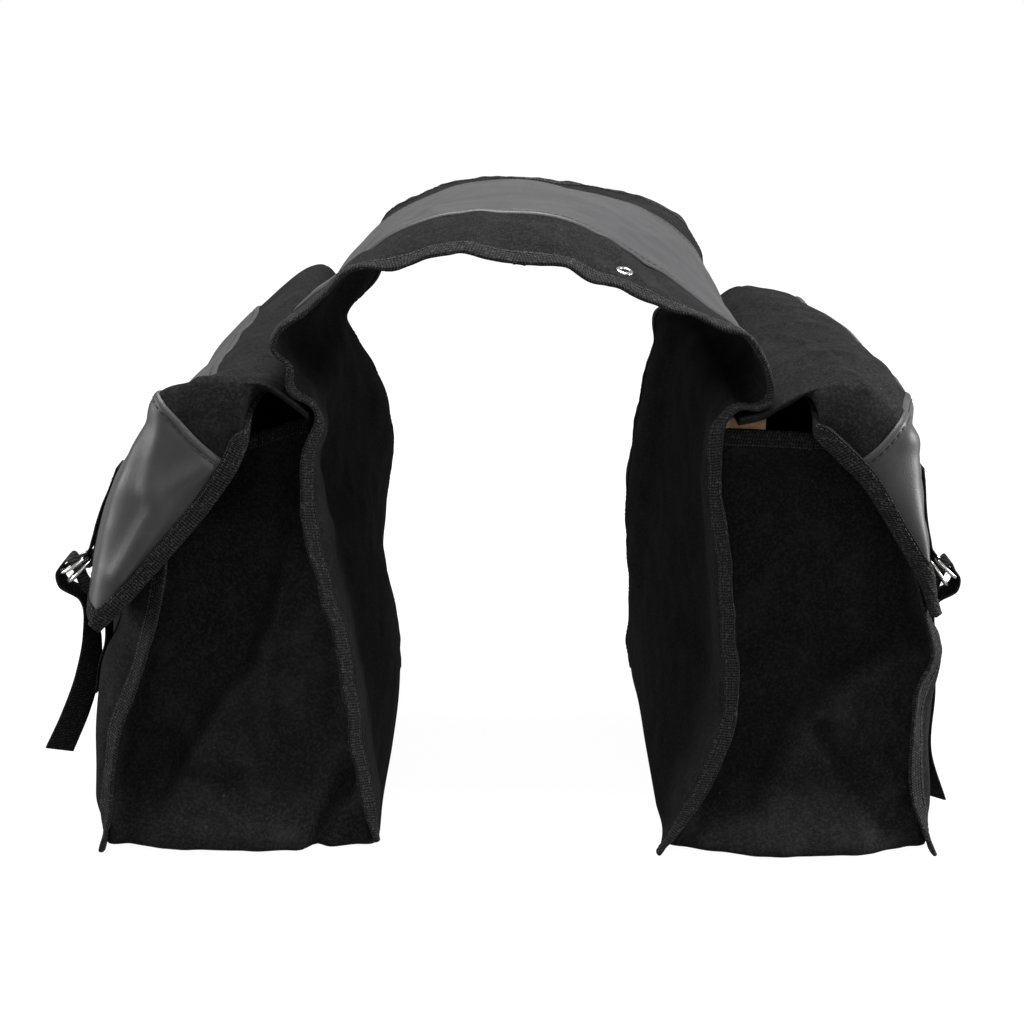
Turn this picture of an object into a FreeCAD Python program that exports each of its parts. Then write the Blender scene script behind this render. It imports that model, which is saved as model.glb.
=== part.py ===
"""Double pannier bag for a bicycle rack: two lidded canvas bags joined by an arched bridge.

Frame, in millimetres: +Z up, X across the bicycle, Y along it with the front at -Y. The origin is
on the surface that the bags stand on, midway between the bags and midway along them.
The right-hand pieces are modelled, and the left-hand ones are their mirror images.
"""
import FreeCAD, Part
import math
import os
import re
import Sketcher

SIZES = {
    "bag_length": 340,        # from the front bound edge to the rear one
    "gap_half": 93,           # from the middle to the foot of a back panel
    "bag_depth": 170,         # from the foot of the back panel to that of the outer panel
    "back_height": 286,
    "back_lean": 33,          # the back panel's top stands this much further out than its foot
    "outer_height": 262,
    "outer_lean": 13,         # the outer panel's top stands this much further in than its foot
    "wall_height": 270,       # top of the gusset's end walls
    "wall_recess": 11,        # an end wall stands this far behind the panels' bound edges
    "cloth": 2,
    "tape": 0.8,
    "tape_width": 11,
    "board": 2.5,
    "board_wing": 40,
    "board_top": 276,
    "play": 0.1,              # between the boards and the cloth around them
    "lid_start": 139,
    "lid_top": 295,           # middle of the lid cloth's thickness
    "lid_half": 173,          # from the middle to the inside of the lid's end skirts
    "seam_out": 226,          # where the lid's canvas meets its leather
    "hem_out": 266.5,
    "hem_height": 160,
    "skirt_in": 203,          # the canvas and leather seam's foot on the skirt
    "skirt_foot": 257,
    "band_half": 100,         # half the width of the bridge's leather band
    "band_skin": 1.2,
    "arch_half": 128,         # from the middle to the foot of the bridge
    "arch_foot": 291,
    "crown_end": 380,         # height of the bridge's bound edges at the middle
    "crown_band": 395,        # height of the bridge under the leather band's edges
    "crown_top": 404,
    "eyelet_out": 63,
    "eyelet_along": 145,
    "eyelet_hole": 3,
    "eyelet_flange": 5.6,
    "eyelet_skin": 0.6,
    "closure_along": 100,     # from the middle to each strap
    "webbing": 22,
    "webbing_half": 0.75,     # half the webbing's thickness
    "loop_width": 14,
    "ring_radius": 12.8,
    "wire": 1.3,
    "ring_pivot_out": 276,
    "ring_pivot_up": 177,
    "ring_step": 4,           # between the two rings of a pair
}

doc = FreeCAD.newDocument("pannier_bag")
sheet = doc.addObject("Spreadsheet::Sheet", "sizes")
for row, (alias, size) in enumerate(SIZES.items(), start=1):
    sheet.set(f"A{row}", alias)
    sheet.set(f"B{row}", str(size))
    sheet.setAlias(f"B{row}", alias)
doc.recompute()

parts = []
FRONT_VIEW = FreeCAD.Rotation(FreeCAD.Vector(1, 0, 0), 90)
ALONG = FreeCAD.Vector(0, 1, 0)
EDGE_ON = FreeCAD.Rotation(FreeCAD.Vector(0, 1, 0), 90)


def bound(expression):
    """Names the sheet in front of every alias of an expression."""
    return re.sub(r"[a-z_]+", lambda found: f"sizes.{found.group()}", str(expression))


def value(expression):
    return float(sheet.evalExpression(bound(expression)))


def keep(piece, label):
    """Names a finished sub-part, whose label is its file's name."""
    piece.Label = label
    parts.append(piece)
    return piece


def draw(sketch, points, closed=True):
    """Draws straight edges through (x, z) expressions, each point bound to the sheet."""
    places = [FreeCAD.Vector(value(x), value(z), 0) for x, z in points]
    edges = len(places) if closed else len(places) - 1
    sketch.addGeometry(
        [Part.LineSegment(places[i], places[(i + 1) % len(places)]) for i in range(edges)], False
    )
    for i in range(edges if closed else edges - 1):
        sketch.addConstraint(Sketcher.Constraint("Coincident", i, 2, (i + 1) % edges, 1))
    for i, point in enumerate(points):
        edge, end = (i, 1) if i < edges else (edges - 1, 2)
        for kind, place, expression in zip(("DistanceX", "DistanceY"), places[i], point):
            index = sketch.addConstraint(Sketcher.Constraint(kind, -1, 1, edge, end, place))
            sketch.renameConstraint(index, f"{kind}_{i}")
            sketch.setExpression(f"Constraints.{kind}_{i}", bound(expression))


def upright_sketch(body, name, points, ahead="0"):
    """A sketch facing the front, standing the given distance ahead of the body's middle plane."""
    sketch = body.newObject("Sketcher::SketchObject", name)
    plane = next(f for f in body.Origin.OriginFeatures if f.Role == "XZ_Plane")
    sketch.AttachmentSupport = [(plane, "")]
    sketch.MapMode = "FlatFace"
    sketch.setExpression(".AttachmentOffset.Base.z", bound(ahead))
    draw(sketch, points)
    return sketch


def pad_both_ways(body, name, points, length):
    pad = body.newObject("PartDesign::Pad", f"{name}_pad")
    pad.Profile = upright_sketch(body, f"{name}_outline", points)
    pad.SideType = "Symmetric"
    pad.setExpression("Length", bound(length))
    return pad


def pocket_both_ways(body, name, points, length):
    pocket = body.newObject("PartDesign::Pocket", f"{name}_pocket")
    pocket.Profile = upright_sketch(body, f"{name}_cut", points)
    pocket.SideType = "Symmetric"
    pocket.setExpression("Length", bound(length))
    doc.recompute()
    before = pocket.BaseFeature.Shape.Volume
    if not pocket.Shape.Volume < before - 1:
        raise RuntimeError(f"{name} cuts nothing")
    return pocket


def new_body(name):
    return doc.addObject("PartDesign::Body", name)


def slab(name, points, ahead, length):
    """An upright outline made solid from ahead of the middle towards the back."""
    sketch = doc.addObject("Sketcher::SketchObject", f"{name}_outline")
    sketch.Placement = FreeCAD.Placement(FreeCAD.Vector(0, 0, 0), FRONT_VIEW)
    draw(sketch, points)
    solid = doc.addObject("Part::Extrusion", name)
    solid.Base = sketch
    solid.DirMode = "Custom"
    solid.Dir = ALONG
    solid.Solid = True
    solid.setExpression("LengthFwd", bound(length))
    solid.setExpression(".Placement.Base.y", bound(f"-({ahead})"))
    return solid


def ribbon(name, points, half_thickness, width, middle="0"):
    """A sheet that follows a bent line seen from the front, centred on the given place along Y."""
    line = doc.addObject("Sketcher::SketchObject", f"{name}_line")
    line.Placement = FreeCAD.Placement(FreeCAD.Vector(0, 0, 0), FRONT_VIEW)
    draw(line, points, closed=False)
    section = doc.addObject("Part::Offset2D", f"{name}_section")
    section.Source = line
    section.Mode = "Skin"
    section.Join = "Arc"
    section.Fill = True
    section.setExpression("Value", bound(half_thickness))
    solid = doc.addObject("Part::Extrusion", name)
    solid.Base = section
    solid.DirMode = "Custom"
    solid.Dir = ALONG
    solid.Solid = True
    solid.Symmetric = True
    solid.setExpression("LengthFwd", bound(width))
    solid.setExpression(".Placement.Base.y", bound(middle))
    return solid


def fused(name, pieces):
    whole = doc.addObject("Part::MultiFuse", name)
    whole.Shapes = pieces
    return whole


def cut(name, base, tool):
    rest = doc.addObject("Part::Cut", name)
    rest.Base = base
    rest.Tool = tool
    return rest


def grouped(name, pieces):
    group = doc.addObject("Part::Compound", name)
    group.Links = pieces
    return group


def mirrored(source, name, normal):
    image = doc.addObject("Part::Mirroring", name)
    image.Source = source
    image.Normal = FreeCAD.Vector(*normal)
    return image


ACROSS, LENGTHWAYS = (1, 0, 0), (0, 1, 0)


# --- the leaning faces of a bag ------------------------------------------------------------

def back_face(out, low, high):
    """Two points of a line that leans with the back panel, at a distance out from its face."""
    return [
        (f"gap_half + ({out}) + back_lean * ({z}) / back_height", z) for z in (low, high)
    ]


def outer_face(inward, low, high):
    """Two points of a line that leans with the outer panel, at a distance in from its face."""
    return [
        (f"gap_half + bag_depth - ({inward}) - outer_lean * ({z}) / outer_height", z)
        for z in (low, high)
    ]


def between(first, second):
    """The outline between two leaning lines."""
    return [first[0], second[0], second[1], first[1]]


# --- panels and gusset ---------------------------------------------------------------------

def make_panels():
    back = new_body("right_back_panel")
    outline = between(back_face("0", "0", "back_height"), back_face("cloth", "0", "back_height"))
    pad_both_ways(back, "back_panel", outline, "bag_length")
    keep(back, "right_back_panel")

    outer = new_body("right_outer_panel")
    outline = between(
        outer_face("cloth", "0", "outer_height"), outer_face("0", "0", "outer_height")
    )
    pad_both_ways(outer, "outer_panel", outline, "bag_length")
    keep(outer, "right_outer_panel")


def make_gusset():
    """One strip: front wall, floor and rear wall, with flanges along the panels' bound edges."""
    gusset = new_body("right_gusset")
    whole = between(
        back_face("cloth", "0", "wall_height"), outer_face("cloth", "0", "wall_height")
    )
    pad_both_ways(gusset, "gusset", whole, "bag_length")
    flange_to_flange = between(
        back_face("2 * cloth", "-1", "wall_height + 1"),
        outer_face("2 * cloth", "-1", "wall_height + 1"),
    )
    recess = "(bag_length / 2 - wall_recess)"
    for name, face in (("front_recess", 1), ("rear_recess", -1)):
        pocket = gusset.newObject("PartDesign::Pocket", name)
        pocket.Profile = upright_sketch(
            gusset, f"{name}_cut", flange_to_flange, f"{face} * {recess}"
        )
        pocket.Reversed = face > 0
        pocket.setExpression("Length", bound("wall_recess + 1"))
        doc.recompute()
        if not pocket.Shape.Volume < pocket.BaseFeature.Shape.Volume - 1:
            raise RuntimeError(f"{name} cuts nothing")
    inside = between(
        back_face("cloth", "cloth", "wall_height + 1"),
        outer_face("cloth", "cloth", "wall_height + 1"),
    )
    pocket_both_ways(gusset, "compartment", inside, "bag_length - 2 * wall_recess - 2 * cloth")
    keep(gusset, "right_gusset")


def make_boards():
    """A folded back board with two wings, standing on a flat base board."""
    back = new_body("right_back_board")
    foot = "cloth + 2 * play + board"
    outline = between(
        back_face("cloth + play", foot, "board_top"),
        back_face("cloth + play + board_wing", foot, "board_top"),
    )
    inner_length = "bag_length - 2 * (wall_recess + cloth + tape + play)"
    pad_both_ways(back, "back_board", outline, inner_length)
    hollow = between(
        back_face("cloth + play + board", "0", "board_top + 1"),
        back_face("cloth + play + board_wing + 1", "0", "board_top + 1"),
    )
    pocket_both_ways(back, "back_board_fold", hollow, f"{inner_length} - 2 * board")
    keep(back, "right_back_board")

    base = new_body("right_base_board")
    low, high = "cloth + play", "cloth + play + board"
    outline = between(back_face("cloth + 1", low, high), outer_face("cloth + 1", low, high))
    pad_both_ways(base, "base_board", outline, inner_length)
    keep(base, "right_base_board")


# --- ribbed tape bound over the edges ------------------------------------------------------

def edge_tape(name, face, height, thick):
    """Tape folded over a panel's front edge and the gusset flange behind it."""
    outside = between(
        face("-tape", "tape", height), face(f"{thick} + tape", "tape", height)
    )
    inside = between(face("0", "0", f"{height} + 1"), face(thick, "0", f"{height} + 1"))
    ahead = "bag_length / 2"
    shell = slab(f"{name}_fold", outside, f"{ahead} + tape", "tape_width")
    core = slab(f"{name}_core", inside, ahead, "tape_width")
    return cut(f"{name}_front", shell, core)


def seam_binding(name, face, height, thick):
    front = edge_tape(name, face, height, thick)
    rear = mirrored(front, f"{name}_rear", LENGTHWAYS)
    foot = between(face("-tape", "tape", "tape_width"), face("0", "tape", "tape_width"))
    sole = slab(f"{name}_sole", foot, "bag_length / 2 - tape_width", "bag_length - 2 * tape_width")
    keep(grouped(name, [front, rear, sole]), name)


def make_bindings():
    flange = "(2 * cloth)"
    seam_binding("right_back_seam_binding", back_face, "wall_height", flange)
    seam_binding("right_outer_seam_binding", outer_face, "(outer_height - tape_width)", flange)


def make_mouth_binding():
    """Tape over the top edges of both end walls and of the outer panel."""
    low = "wall_height - tape_width + tape"
    high = "wall_height + tape"
    run = between(back_face("2 * cloth + 1", low, high), outer_face("2 * cloth + 1", low, high))
    wall_front = "bag_length / 2 - wall_recess"
    shell = slab("mouth_tape_fold", run, f"{wall_front} + tape", "cloth + 2 * tape")
    core = slab(
        "mouth_tape_core",
        between(back_face("0", "0", "wall_height"), outer_face("0", "0", "wall_height")),
        wall_front, "cloth",
    )
    front = cut("mouth_tape_front", shell, core)
    rear = mirrored(front, "mouth_tape_rear", LENGTHWAYS)
    rim_low, rim_high = "outer_height - tape_width + tape", "outer_height + tape"
    rim = between(
        outer_face("cloth + tape", rim_low, rim_high), outer_face("-tape", rim_low, rim_high)
    )
    rim_length = "(bag_length / 2 - wall_recess - cloth - 2 * tape)"
    rim_fold = slab("rim_tape_fold", rim, rim_length, f"2 * {rim_length}")
    panel = between(outer_face("cloth", "0", "outer_height"), outer_face("0", "0", "outer_height"))
    rim_core = slab("rim_tape_core", panel, rim_length, f"2 * {rim_length}")
    rim_tape = cut("rim_tape", rim_fold, rim_core)
    keep(grouped("right_mouth_binding", [front, rear, rim_tape]), "right_mouth_binding")


# --- lid: canvas top, leather front, skirts over the ends ----------------------------------

SKIRT_START = [("lid_start + 11", "lid_top - cloth / 2"), ("174", "278")]
SKIRT_SEAM = [("skirt_in", "skirt_foot"), ("seam_out", "lid_top - cloth / 2")]
LEATHER_LINE = [
    ("seam_out", "lid_top"),
    ("seam_out + 6", "lid_top"),
    ("seam_out + 22", "lid_top - 10"),
    ("seam_out + 34", "lid_top - 35"),
    ("hem_out", "hem_height"),
]
SKIRT_CORNER = ("hem_out - 12.5", "hem_height + 6")


def with_skirts(name, sheet_piece, outline):
    front = slab(f"{name}_front_skirt", outline, "lid_half + cloth", "cloth")
    rear = mirrored(front, f"{name}_rear_skirt", LENGTHWAYS)
    return fused(name, [sheet_piece, front, rear])


def make_lid():
    length = "2 * (lid_half + cloth)"
    low, high = "lid_top - cloth / 2", "lid_top + cloth / 2"
    top = slab(
        "lid_top_sheet",
        [("lid_start", low), ("seam_out", low), ("seam_out", high), ("lid_start", high)],
        "lid_half + cloth", length,
    )
    canvas = with_skirts(
        "right_lid_canvas", top, [SKIRT_START[0], SKIRT_START[1], SKIRT_SEAM[0], SKIRT_SEAM[1]]
    )
    face = ribbon("lid_face_sheet", LEATHER_LINE, "cloth / 2", length)
    leather = with_skirts(
        "right_lid_leather", face, SKIRT_SEAM + LEATHER_LINE + [SKIRT_CORNER]
    )
    keep(canvas, "right_lid_canvas")
    keep(leather, "right_lid_leather")

    edge = [("160", "287.3"), SKIRT_START[1], SKIRT_SEAM[0], SKIRT_CORNER]
    bar = ribbon("skirt_tape_bar", edge, "tape_width / 2", "cloth + 2 * tape", "-lid_half - cloth / 2")
    rear_bar = mirrored(bar, "skirt_tape_rear_bar", LENGTHWAYS)
    fold = "(cloth / 2 + tape)"
    low, high = "hem_height - tape", "hem_height + tape_width - tape"
    hem = slab(
        "hem_tape_bar",
        [(f"hem_out - {fold}", low), (f"hem_out + {fold}", low),
         (f"hem_out + {fold} - 0.7", high), (f"hem_out - {fold} - 0.7", high)],
        "lid_half", "2 * lid_half",
    )
    bars = grouped("lid_tape_bars", [bar, rear_bar, hem])
    off_canvas = cut("lid_tape_off_canvas", bars, canvas)
    keep(cut("right_lid_binding", off_canvas, leather), "right_lid_binding")


# --- closures: chape, two rings and a strap ------------------------------------------------

def make_chape():
    """Webbing sewn down the leather, ending in a closed loop that the rings hang in."""
    along = "-closure_along"
    strip = ribbon(
        "chape_strip",
        [("263.9", "233"), ("267.6", "190"), ("270", "184")],
        "webbing_half", "webbing", along,
    )
    outer = [("269.5", "185"), ("269.5", "169.5"), ("282.5", "169.5"), ("282.5", "183"), ("276", "185")]
    inner = [("271", "182"), ("271", "171"), ("281", "171"), ("281", "182")]
    block = slab("chape_loop_block", outer, "closure_along + loop_width / 2", "loop_width")
    hole = slab("chape_loop_hole", inner, "closure_along + webbing", "2 * webbing")
    loop = cut("chape_loop", block, hole)
    return keep(fused("right_front_chape", [strip, loop]), "right_front_chape")


def make_rings():
    rings = []
    for name, side in (("inner_ring", -1), ("outer_ring", 1)):
        ring = doc.addObject("Part::Torus", name)
        ring.setExpression("Radius1", bound("ring_radius"))
        ring.setExpression("Radius2", bound("wire"))
        ring.Placement = FreeCAD.Placement(FreeCAD.Vector(0, 0, 0), EDGE_ON)
        ring.setExpression(".Placement.Base.x", bound(f"ring_pivot_out + {side} * ring_step / 2"))
        ring.setExpression(".Placement.Base.y", bound("-closure_along"))
        ring.setExpression(".Placement.Base.z", bound("ring_pivot_up - ring_radius"))
        rings.append(ring)
    return keep(grouped("right_front_rings", rings), "right_front_rings")


def make_strap():
    """Webbing sewn to the outer panel, led up through both rings, with its tail hanging."""
    centre = "(ring_pivot_up - ring_radius)"
    strap = ribbon(
        "right_front_strap",
        [
            ("gap_half + bag_depth - 3", "95"),
            ("gap_half + bag_depth - 3", "125"),
            ("ring_pivot_out - 5", "146"),
            ("ring_pivot_out - 5", f"{centre} - 1"),
            ("ring_pivot_out + 6", centre),
            ("ring_pivot_out + 9", "148"),
            ("ring_pivot_out + 12", "100"),
            ("ring_pivot_out + 24", "42"),
        ],
        "webbing_half", "webbing", "-closure_along",
    )
    return keep(strap, "right_front_strap")


def make_closures():
    for front, kind in ((make_chape(), "chape"), (make_rings(), "rings"), (make_strap(), "strap")):
        keep(mirrored(front, f"right_rear_{kind}", LENGTHWAYS), f"right_rear_{kind}")


# --- bridge --------------------------------------------------------------------------------

def arch_radius(crown):
    rise = f"(({crown}) - arch_foot)"
    return f"(arch_half * arch_half + {rise} * {rise}) / (2 * {rise})"


def arch_section(name, along, crown, low, high):
    """A curved band seen from the front, between two offsets from the bridge cloth's top face."""
    sketch = doc.addObject("Sketcher::SketchObject", name)
    sketch.Placement = FreeCAD.Placement(FreeCAD.Vector(0, 0, 0), FRONT_VIEW)
    sketch.setExpression(".Placement.Base.y", bound(along))
    radius = value(arch_radius(crown))
    centre = FreeCAD.Vector(0, value(crown) - radius, 0)
    foot = value("arch_foot") - centre.y
    up = FreeCAD.Vector(0, 0, 1)
    for offset in (high, low):
        length = radius + value(offset)
        start = math.asin(foot / length)
        circle = Part.Circle(centre, up, length)
        sketch.addGeometry(Part.ArcOfCircle(circle, start, math.pi - start), False)
    for end in ("StartPoint", "EndPoint"):
        points = [getattr(sketch.Geometry[i], end) for i in (0, 1)]
        sketch.addGeometry(Part.LineSegment(*points), False)
    links = [("Coincident", 0, 3, 1, 3), ("Coincident", 0, 1, 2, 1), ("Coincident", 1, 1, 2, 2),
             ("Coincident", 0, 2, 3, 1), ("Coincident", 1, 2, 3, 2), ("Horizontal", 2),
             ("Horizontal", 3), ("PointOnObject", 0, 3, -2)]
    for link in links:
        sketch.addConstraint(Sketcher.Constraint(*link))
    sized = [
        ("centre", ("DistanceY", -1, 1, 0, 3), f"({crown}) - {arch_radius(crown)}"),
        ("outer", ("Radius", 0), f"{arch_radius(crown)} + ({high})"),
        ("inner", ("Radius", 1), f"{arch_radius(crown)} + ({low})"),
        ("right_foot", ("DistanceY", -1, 1, 2, 1), "arch_foot"),
        ("left_foot", ("DistanceY", -1, 1, 3, 1), "arch_foot"),
    ]
    for label, constraint, expression in sized:
        index = sketch.addConstraint(Sketcher.Constraint(*constraint, value(expression)))
        sketch.renameConstraint(index, label)
        sketch.setExpression(f"Constraints.{label}", bound(expression))
    return sketch


def arch_sheet(name, stations, low, high):
    """A sheet that follows the bridge through (along, crown) stations."""
    sheet_piece = doc.addObject("Part::Loft", name)
    sheet_piece.Sections = [
        arch_section(f"{name}_section_{i}", along, crown, low, high)
        for i, (along, crown) in enumerate(stations)
    ]
    sheet_piece.Solid = True
    sheet_piece.Ruled = True
    return sheet_piece


SLOPE = "(crown_band - crown_end) / (bag_length / 2 - band_half)"


def arch_point(out, along):
    """A point on the bridge cloth's top face between the front edge and the leather band."""
    crown = value(f"crown_end + ({along} + bag_length / 2) * {SLOPE}")
    rise = crown - value("arch_foot")
    radius = (value("arch_half") ** 2 + rise ** 2) / (2 * rise)
    return FreeCAD.Vector(out, along, crown - radius + math.sqrt(radius ** 2 - out ** 2))


def eyelet_placement():
    """On the bridge's top face, with local +Z along the face's normal."""
    out, along = value("eyelet_out"), -value("eyelet_along")
    middle = arch_point(out, along)
    across = arch_point(out + 1, along) - arch_point(out - 1, along)
    lengthways = arch_point(out, along + 1) - arch_point(out, along - 1)
    normal = across.cross(lengthways)
    return FreeCAD.Placement(middle, FreeCAD.Rotation(FreeCAD.Vector(0, 0, 1), normal))


def round_piece(name, radius, depth, base, place):
    cylinder = doc.addObject("Part::Cylinder", name)
    cylinder.setExpression("Radius", bound(radius))
    cylinder.setExpression("Height", bound(depth))
    lift = FreeCAD.Placement(FreeCAD.Vector(0, 0, value(base)), FreeCAD.Rotation())
    cylinder.Placement = place.multiply(lift)
    return cylinder


def make_eyelet(place):
    """A flanged barrel through the cloth, crimped over a washer under it."""
    wall = "eyelet_hole + eyelet_skin"
    barrel = round_piece("eyelet_barrel", wall, "cloth + 2 * eyelet_skin",
                         "-cloth - eyelet_skin", place)
    flange = round_piece("eyelet_disc", "eyelet_flange", "eyelet_skin", "0", place)
    bore = round_piece("eyelet_bore", "eyelet_hole", "3 * cloth", "-2 * cloth", place)
    keep(cut("front_eyelet", fused("eyelet_blank", [barrel, flange]), bore), "front_eyelet")

    disc = round_piece("washer_disc", "eyelet_flange", "eyelet_skin", "-cloth - eyelet_skin", place)
    washer_hole = round_piece("washer_hole", wall, "cloth", "-1.5 * cloth", place)
    keep(cut("front_eyelet_washer", disc, washer_hole), "front_eyelet_washer")


def make_bridge():
    edge = "bag_length / 2"
    stations = [
        (f"-{edge}", "crown_end"), ("-band_half", "crown_band"), ("0", "crown_top"),
        ("band_half", "crown_band"), (edge, "crown_end"),
    ]
    cloth = arch_sheet("bridge_cloth", stations, "-cloth", "0")
    place = eyelet_placement()
    hole = round_piece("cloth_hole", "eyelet_hole + eyelet_skin", "3 * cloth", "-2 * cloth", place)
    keep(cut("bridge_canvas", cloth, hole), "bridge_canvas")
    keep(arch_sheet("bridge_leather", stations[1:-1], "0", "band_skin"), "bridge_leather")

    fold_end = f"({edge} + tape - tape_width)"
    bar = arch_sheet(
        "bridge_tape_bar",
        [(f"-{edge} - tape", f"crown_end - tape * {SLOPE}"),
         (f"-{fold_end}", f"crown_end + ({edge} - {fold_end}) * {SLOPE}")],
        "-cloth - tape", "tape",
    )
    front = keep(cut("bridge_front_binding", bar, cloth), "bridge_front_binding")
    keep(mirrored(front, "bridge_rear_binding", LENGTHWAYS), "bridge_rear_binding")
    make_eyelet(place)


# --- build, check, write -------------------------------------------------------------------

make_panels()
make_gusset()
make_boards()
make_bindings()
make_mouth_binding()
make_lid()
make_closures()
for piece in list(parts):
    left_name = piece.Label.replace("right_", "left_")
    keep(mirrored(piece, left_name, ACROSS), left_name)
make_bridge()
doc.recompute()

for item in doc.Objects:
    if "Invalid" in item.State or "Error" in item.State:
        raise RuntimeError(f"{item.Label} failed: {item.State}")
for piece in parts:
    if piece.Shape.isNull() or not piece.Shape.isValid() or not piece.Shape.Solids:
        raise RuntimeError(f"{piece.Label} has no valid solid")

os.makedirs("parts", exist_ok=True)
for piece in parts:
    piece.Shape.exportStep(f"parts/{piece.Label}.step")
    print(f"{piece.Label}: {len(piece.Shape.Solids)} solid(s), {piece.Shape.Volume / 1000:.2f} cm3")
box = FreeCAD.BoundBox()
for piece in parts:
    box.add(piece.Shape.optimalBoundingBox())
print(f"overall {box.XLength:.1f} x {box.YLength:.1f} x {box.ZLength:.1f} mm")
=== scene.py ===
import math

import bmesh
import bpy
import numpy as np
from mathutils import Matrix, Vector


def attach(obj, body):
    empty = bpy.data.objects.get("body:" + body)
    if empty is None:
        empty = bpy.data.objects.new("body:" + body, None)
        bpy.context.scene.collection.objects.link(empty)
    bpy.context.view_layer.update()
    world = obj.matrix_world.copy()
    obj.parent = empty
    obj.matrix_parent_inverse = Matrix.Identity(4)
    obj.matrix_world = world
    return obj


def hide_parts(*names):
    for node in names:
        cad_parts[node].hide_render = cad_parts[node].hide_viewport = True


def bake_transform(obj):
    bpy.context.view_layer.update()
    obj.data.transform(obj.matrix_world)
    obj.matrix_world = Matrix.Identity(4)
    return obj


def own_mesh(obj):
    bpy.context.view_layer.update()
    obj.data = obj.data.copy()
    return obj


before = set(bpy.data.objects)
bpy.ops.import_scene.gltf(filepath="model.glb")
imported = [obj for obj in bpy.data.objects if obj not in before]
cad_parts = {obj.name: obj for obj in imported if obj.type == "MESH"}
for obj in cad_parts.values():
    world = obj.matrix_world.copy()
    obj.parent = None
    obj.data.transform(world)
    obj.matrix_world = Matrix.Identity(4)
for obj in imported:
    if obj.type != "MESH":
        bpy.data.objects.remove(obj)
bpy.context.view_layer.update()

MM = 0.001            # shapes are worked out in millimetres
END = 170.0           # from the middle to each bound edge, front and rear
BAND = 100.0          # half the width of the bridge's leather band
BAND_RUN = 212.0      # how far the band runs from the middle down each side
CLOTH = 1.2
WEB_WIDTH = 22.0
WEB_THICK = 1.5
TAPE = 11.0           # how much of the folded tape shows
SIDES = {"left": -1.0, "right": 1.0}
ENDS = {"front": -1.0, "rear": 1.0}


# ---------------------------------------------------------------- numbers
def unit(vectors):
    return vectors / (np.linalg.norm(vectors, axis=-1, keepdims=True) + 1e-9)


def through(knots, values, at):
    """A smooth curve through the values, which stand at the knots."""
    knots = np.asarray(knots, float)
    values = np.asarray(values, float)
    shape = values.shape[1:]
    flat = values.reshape(len(knots), -1)
    step = np.diff(knots)[:, None]
    slope = np.diff(flat, axis=0) / step
    tangent = np.empty_like(flat)
    tangent[0] = slope[0]
    tangent[-1] = slope[-1]
    tangent[1:-1] = (step[1:] * slope[:-1] + step[:-1] * slope[1:]) / (step[1:] + step[:-1])
    at = np.asarray(at, float)
    i = np.clip(np.searchsorted(knots, at, side="right") - 1, 0, len(knots) - 2)
    h = step[i]
    t = (at - knots[i])[:, None] / h
    out = ((1 + 2 * t) * (1 - t) ** 2 * flat[i] + t * (1 - t) ** 2 * h * tangent[i]
           + t * t * (3 - 2 * t) * flat[i + 1] + t * t * (t - 1) * h * tangent[i + 1])
    return out.reshape((len(at),) + shape)


def loft(rows, columns, count, at_rows):
    """A grid of points through profiles. rows holds (y, [(x, z), ...]) from front to back,
    and every profile has the same number of points."""
    ys = [row[0] for row in rows]
    table = np.array([row[1] for row in rows], float)
    gaps = np.linalg.norm(np.diff(table, axis=1), axis=2).mean(0)
    knots = np.r_[0, np.cumsum(np.maximum(gaps, 1.0))]
    across = through(knots, table.transpose(1, 0, 2), np.linspace(0, knots[-1], count))
    grid = through(columns if columns is not None else ys, across.transpose(1, 0, 2), at_rows)
    return grid, knots


def with_y(flat, ys):
    """Turns a grid of (x, z) with one y a row into a grid of (x, y, z)."""
    y = np.broadcast_to(np.asarray(ys, float)[:, None], flat.shape[:2])
    return np.stack([flat[..., 0], y, flat[..., 1]], axis=-1)


def normals_of(grid, toward):
    """A grid's normals, on the side that faces toward. Where two halves meet, at x = 0, they stay upright."""
    along = np.gradient(grid, axis=1)
    across = np.gradient(grid, axis=0)
    normal = np.cross(along, across)
    normal[np.abs(grid[..., 0]) < 1e-6, 0] = 0.0
    normal = unit(normal)
    return normal if (normal @ np.asarray(toward, float)).mean() > 0 else -normal


def lengths(grid, axis):
    """Distance run along each line of the grid."""
    steps = np.linalg.norm(np.diff(grid, axis=axis), axis=2)
    pad = [(0, 0), (0, 0)]
    pad[axis] = (1, 0)
    return np.cumsum(np.pad(steps, pad), axis=axis)


def patch(grid, rows, columns):
    """The grid sampled at fractional row and column numbers."""
    rows = np.asarray(rows, float)
    columns = np.asarray(columns, float)
    r = np.clip(np.floor(rows).astype(int), 0, grid.shape[0] - 2)
    c = np.clip(np.floor(columns).astype(int), 0, grid.shape[1] - 2)
    fr = (rows - r)[:, None, None]
    fc = (columns - c)[None, :, None]
    low = grid[r][:, c] * (1 - fc) + grid[r][:, c + 1] * fc
    high = grid[r + 1][:, c] * (1 - fc) + grid[r + 1][:, c + 1] * fc
    return low * (1 - fr) + high * fr


def step_up(values, start, end):
    """Rises smoothly from 0 at the start to 1 at the end."""
    t = np.clip((values - start) / (end - start), 0, 1)
    return t * t * (3 - 2 * t)


def bump(values, centre, width):
    """1 at the centre, falling off smoothly on both sides."""
    return np.exp(-((values - centre) / width) ** 2)


def crease(points, path, width, height):
    """A soft ridge along a path, or a valley if the height is negative."""
    path = np.asarray(path, float)
    best = np.full(points.shape[:-1], 1e9)
    for a, b in zip(path[:-1], path[1:]):
        span = b - a
        t = np.clip(((points - a) @ span) / (span @ span), 0, 1)
        best = np.minimum(best, np.linalg.norm(points - a - t[..., None] * span, axis=-1))
    return height * np.exp(-(best / width) ** 2)


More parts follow.
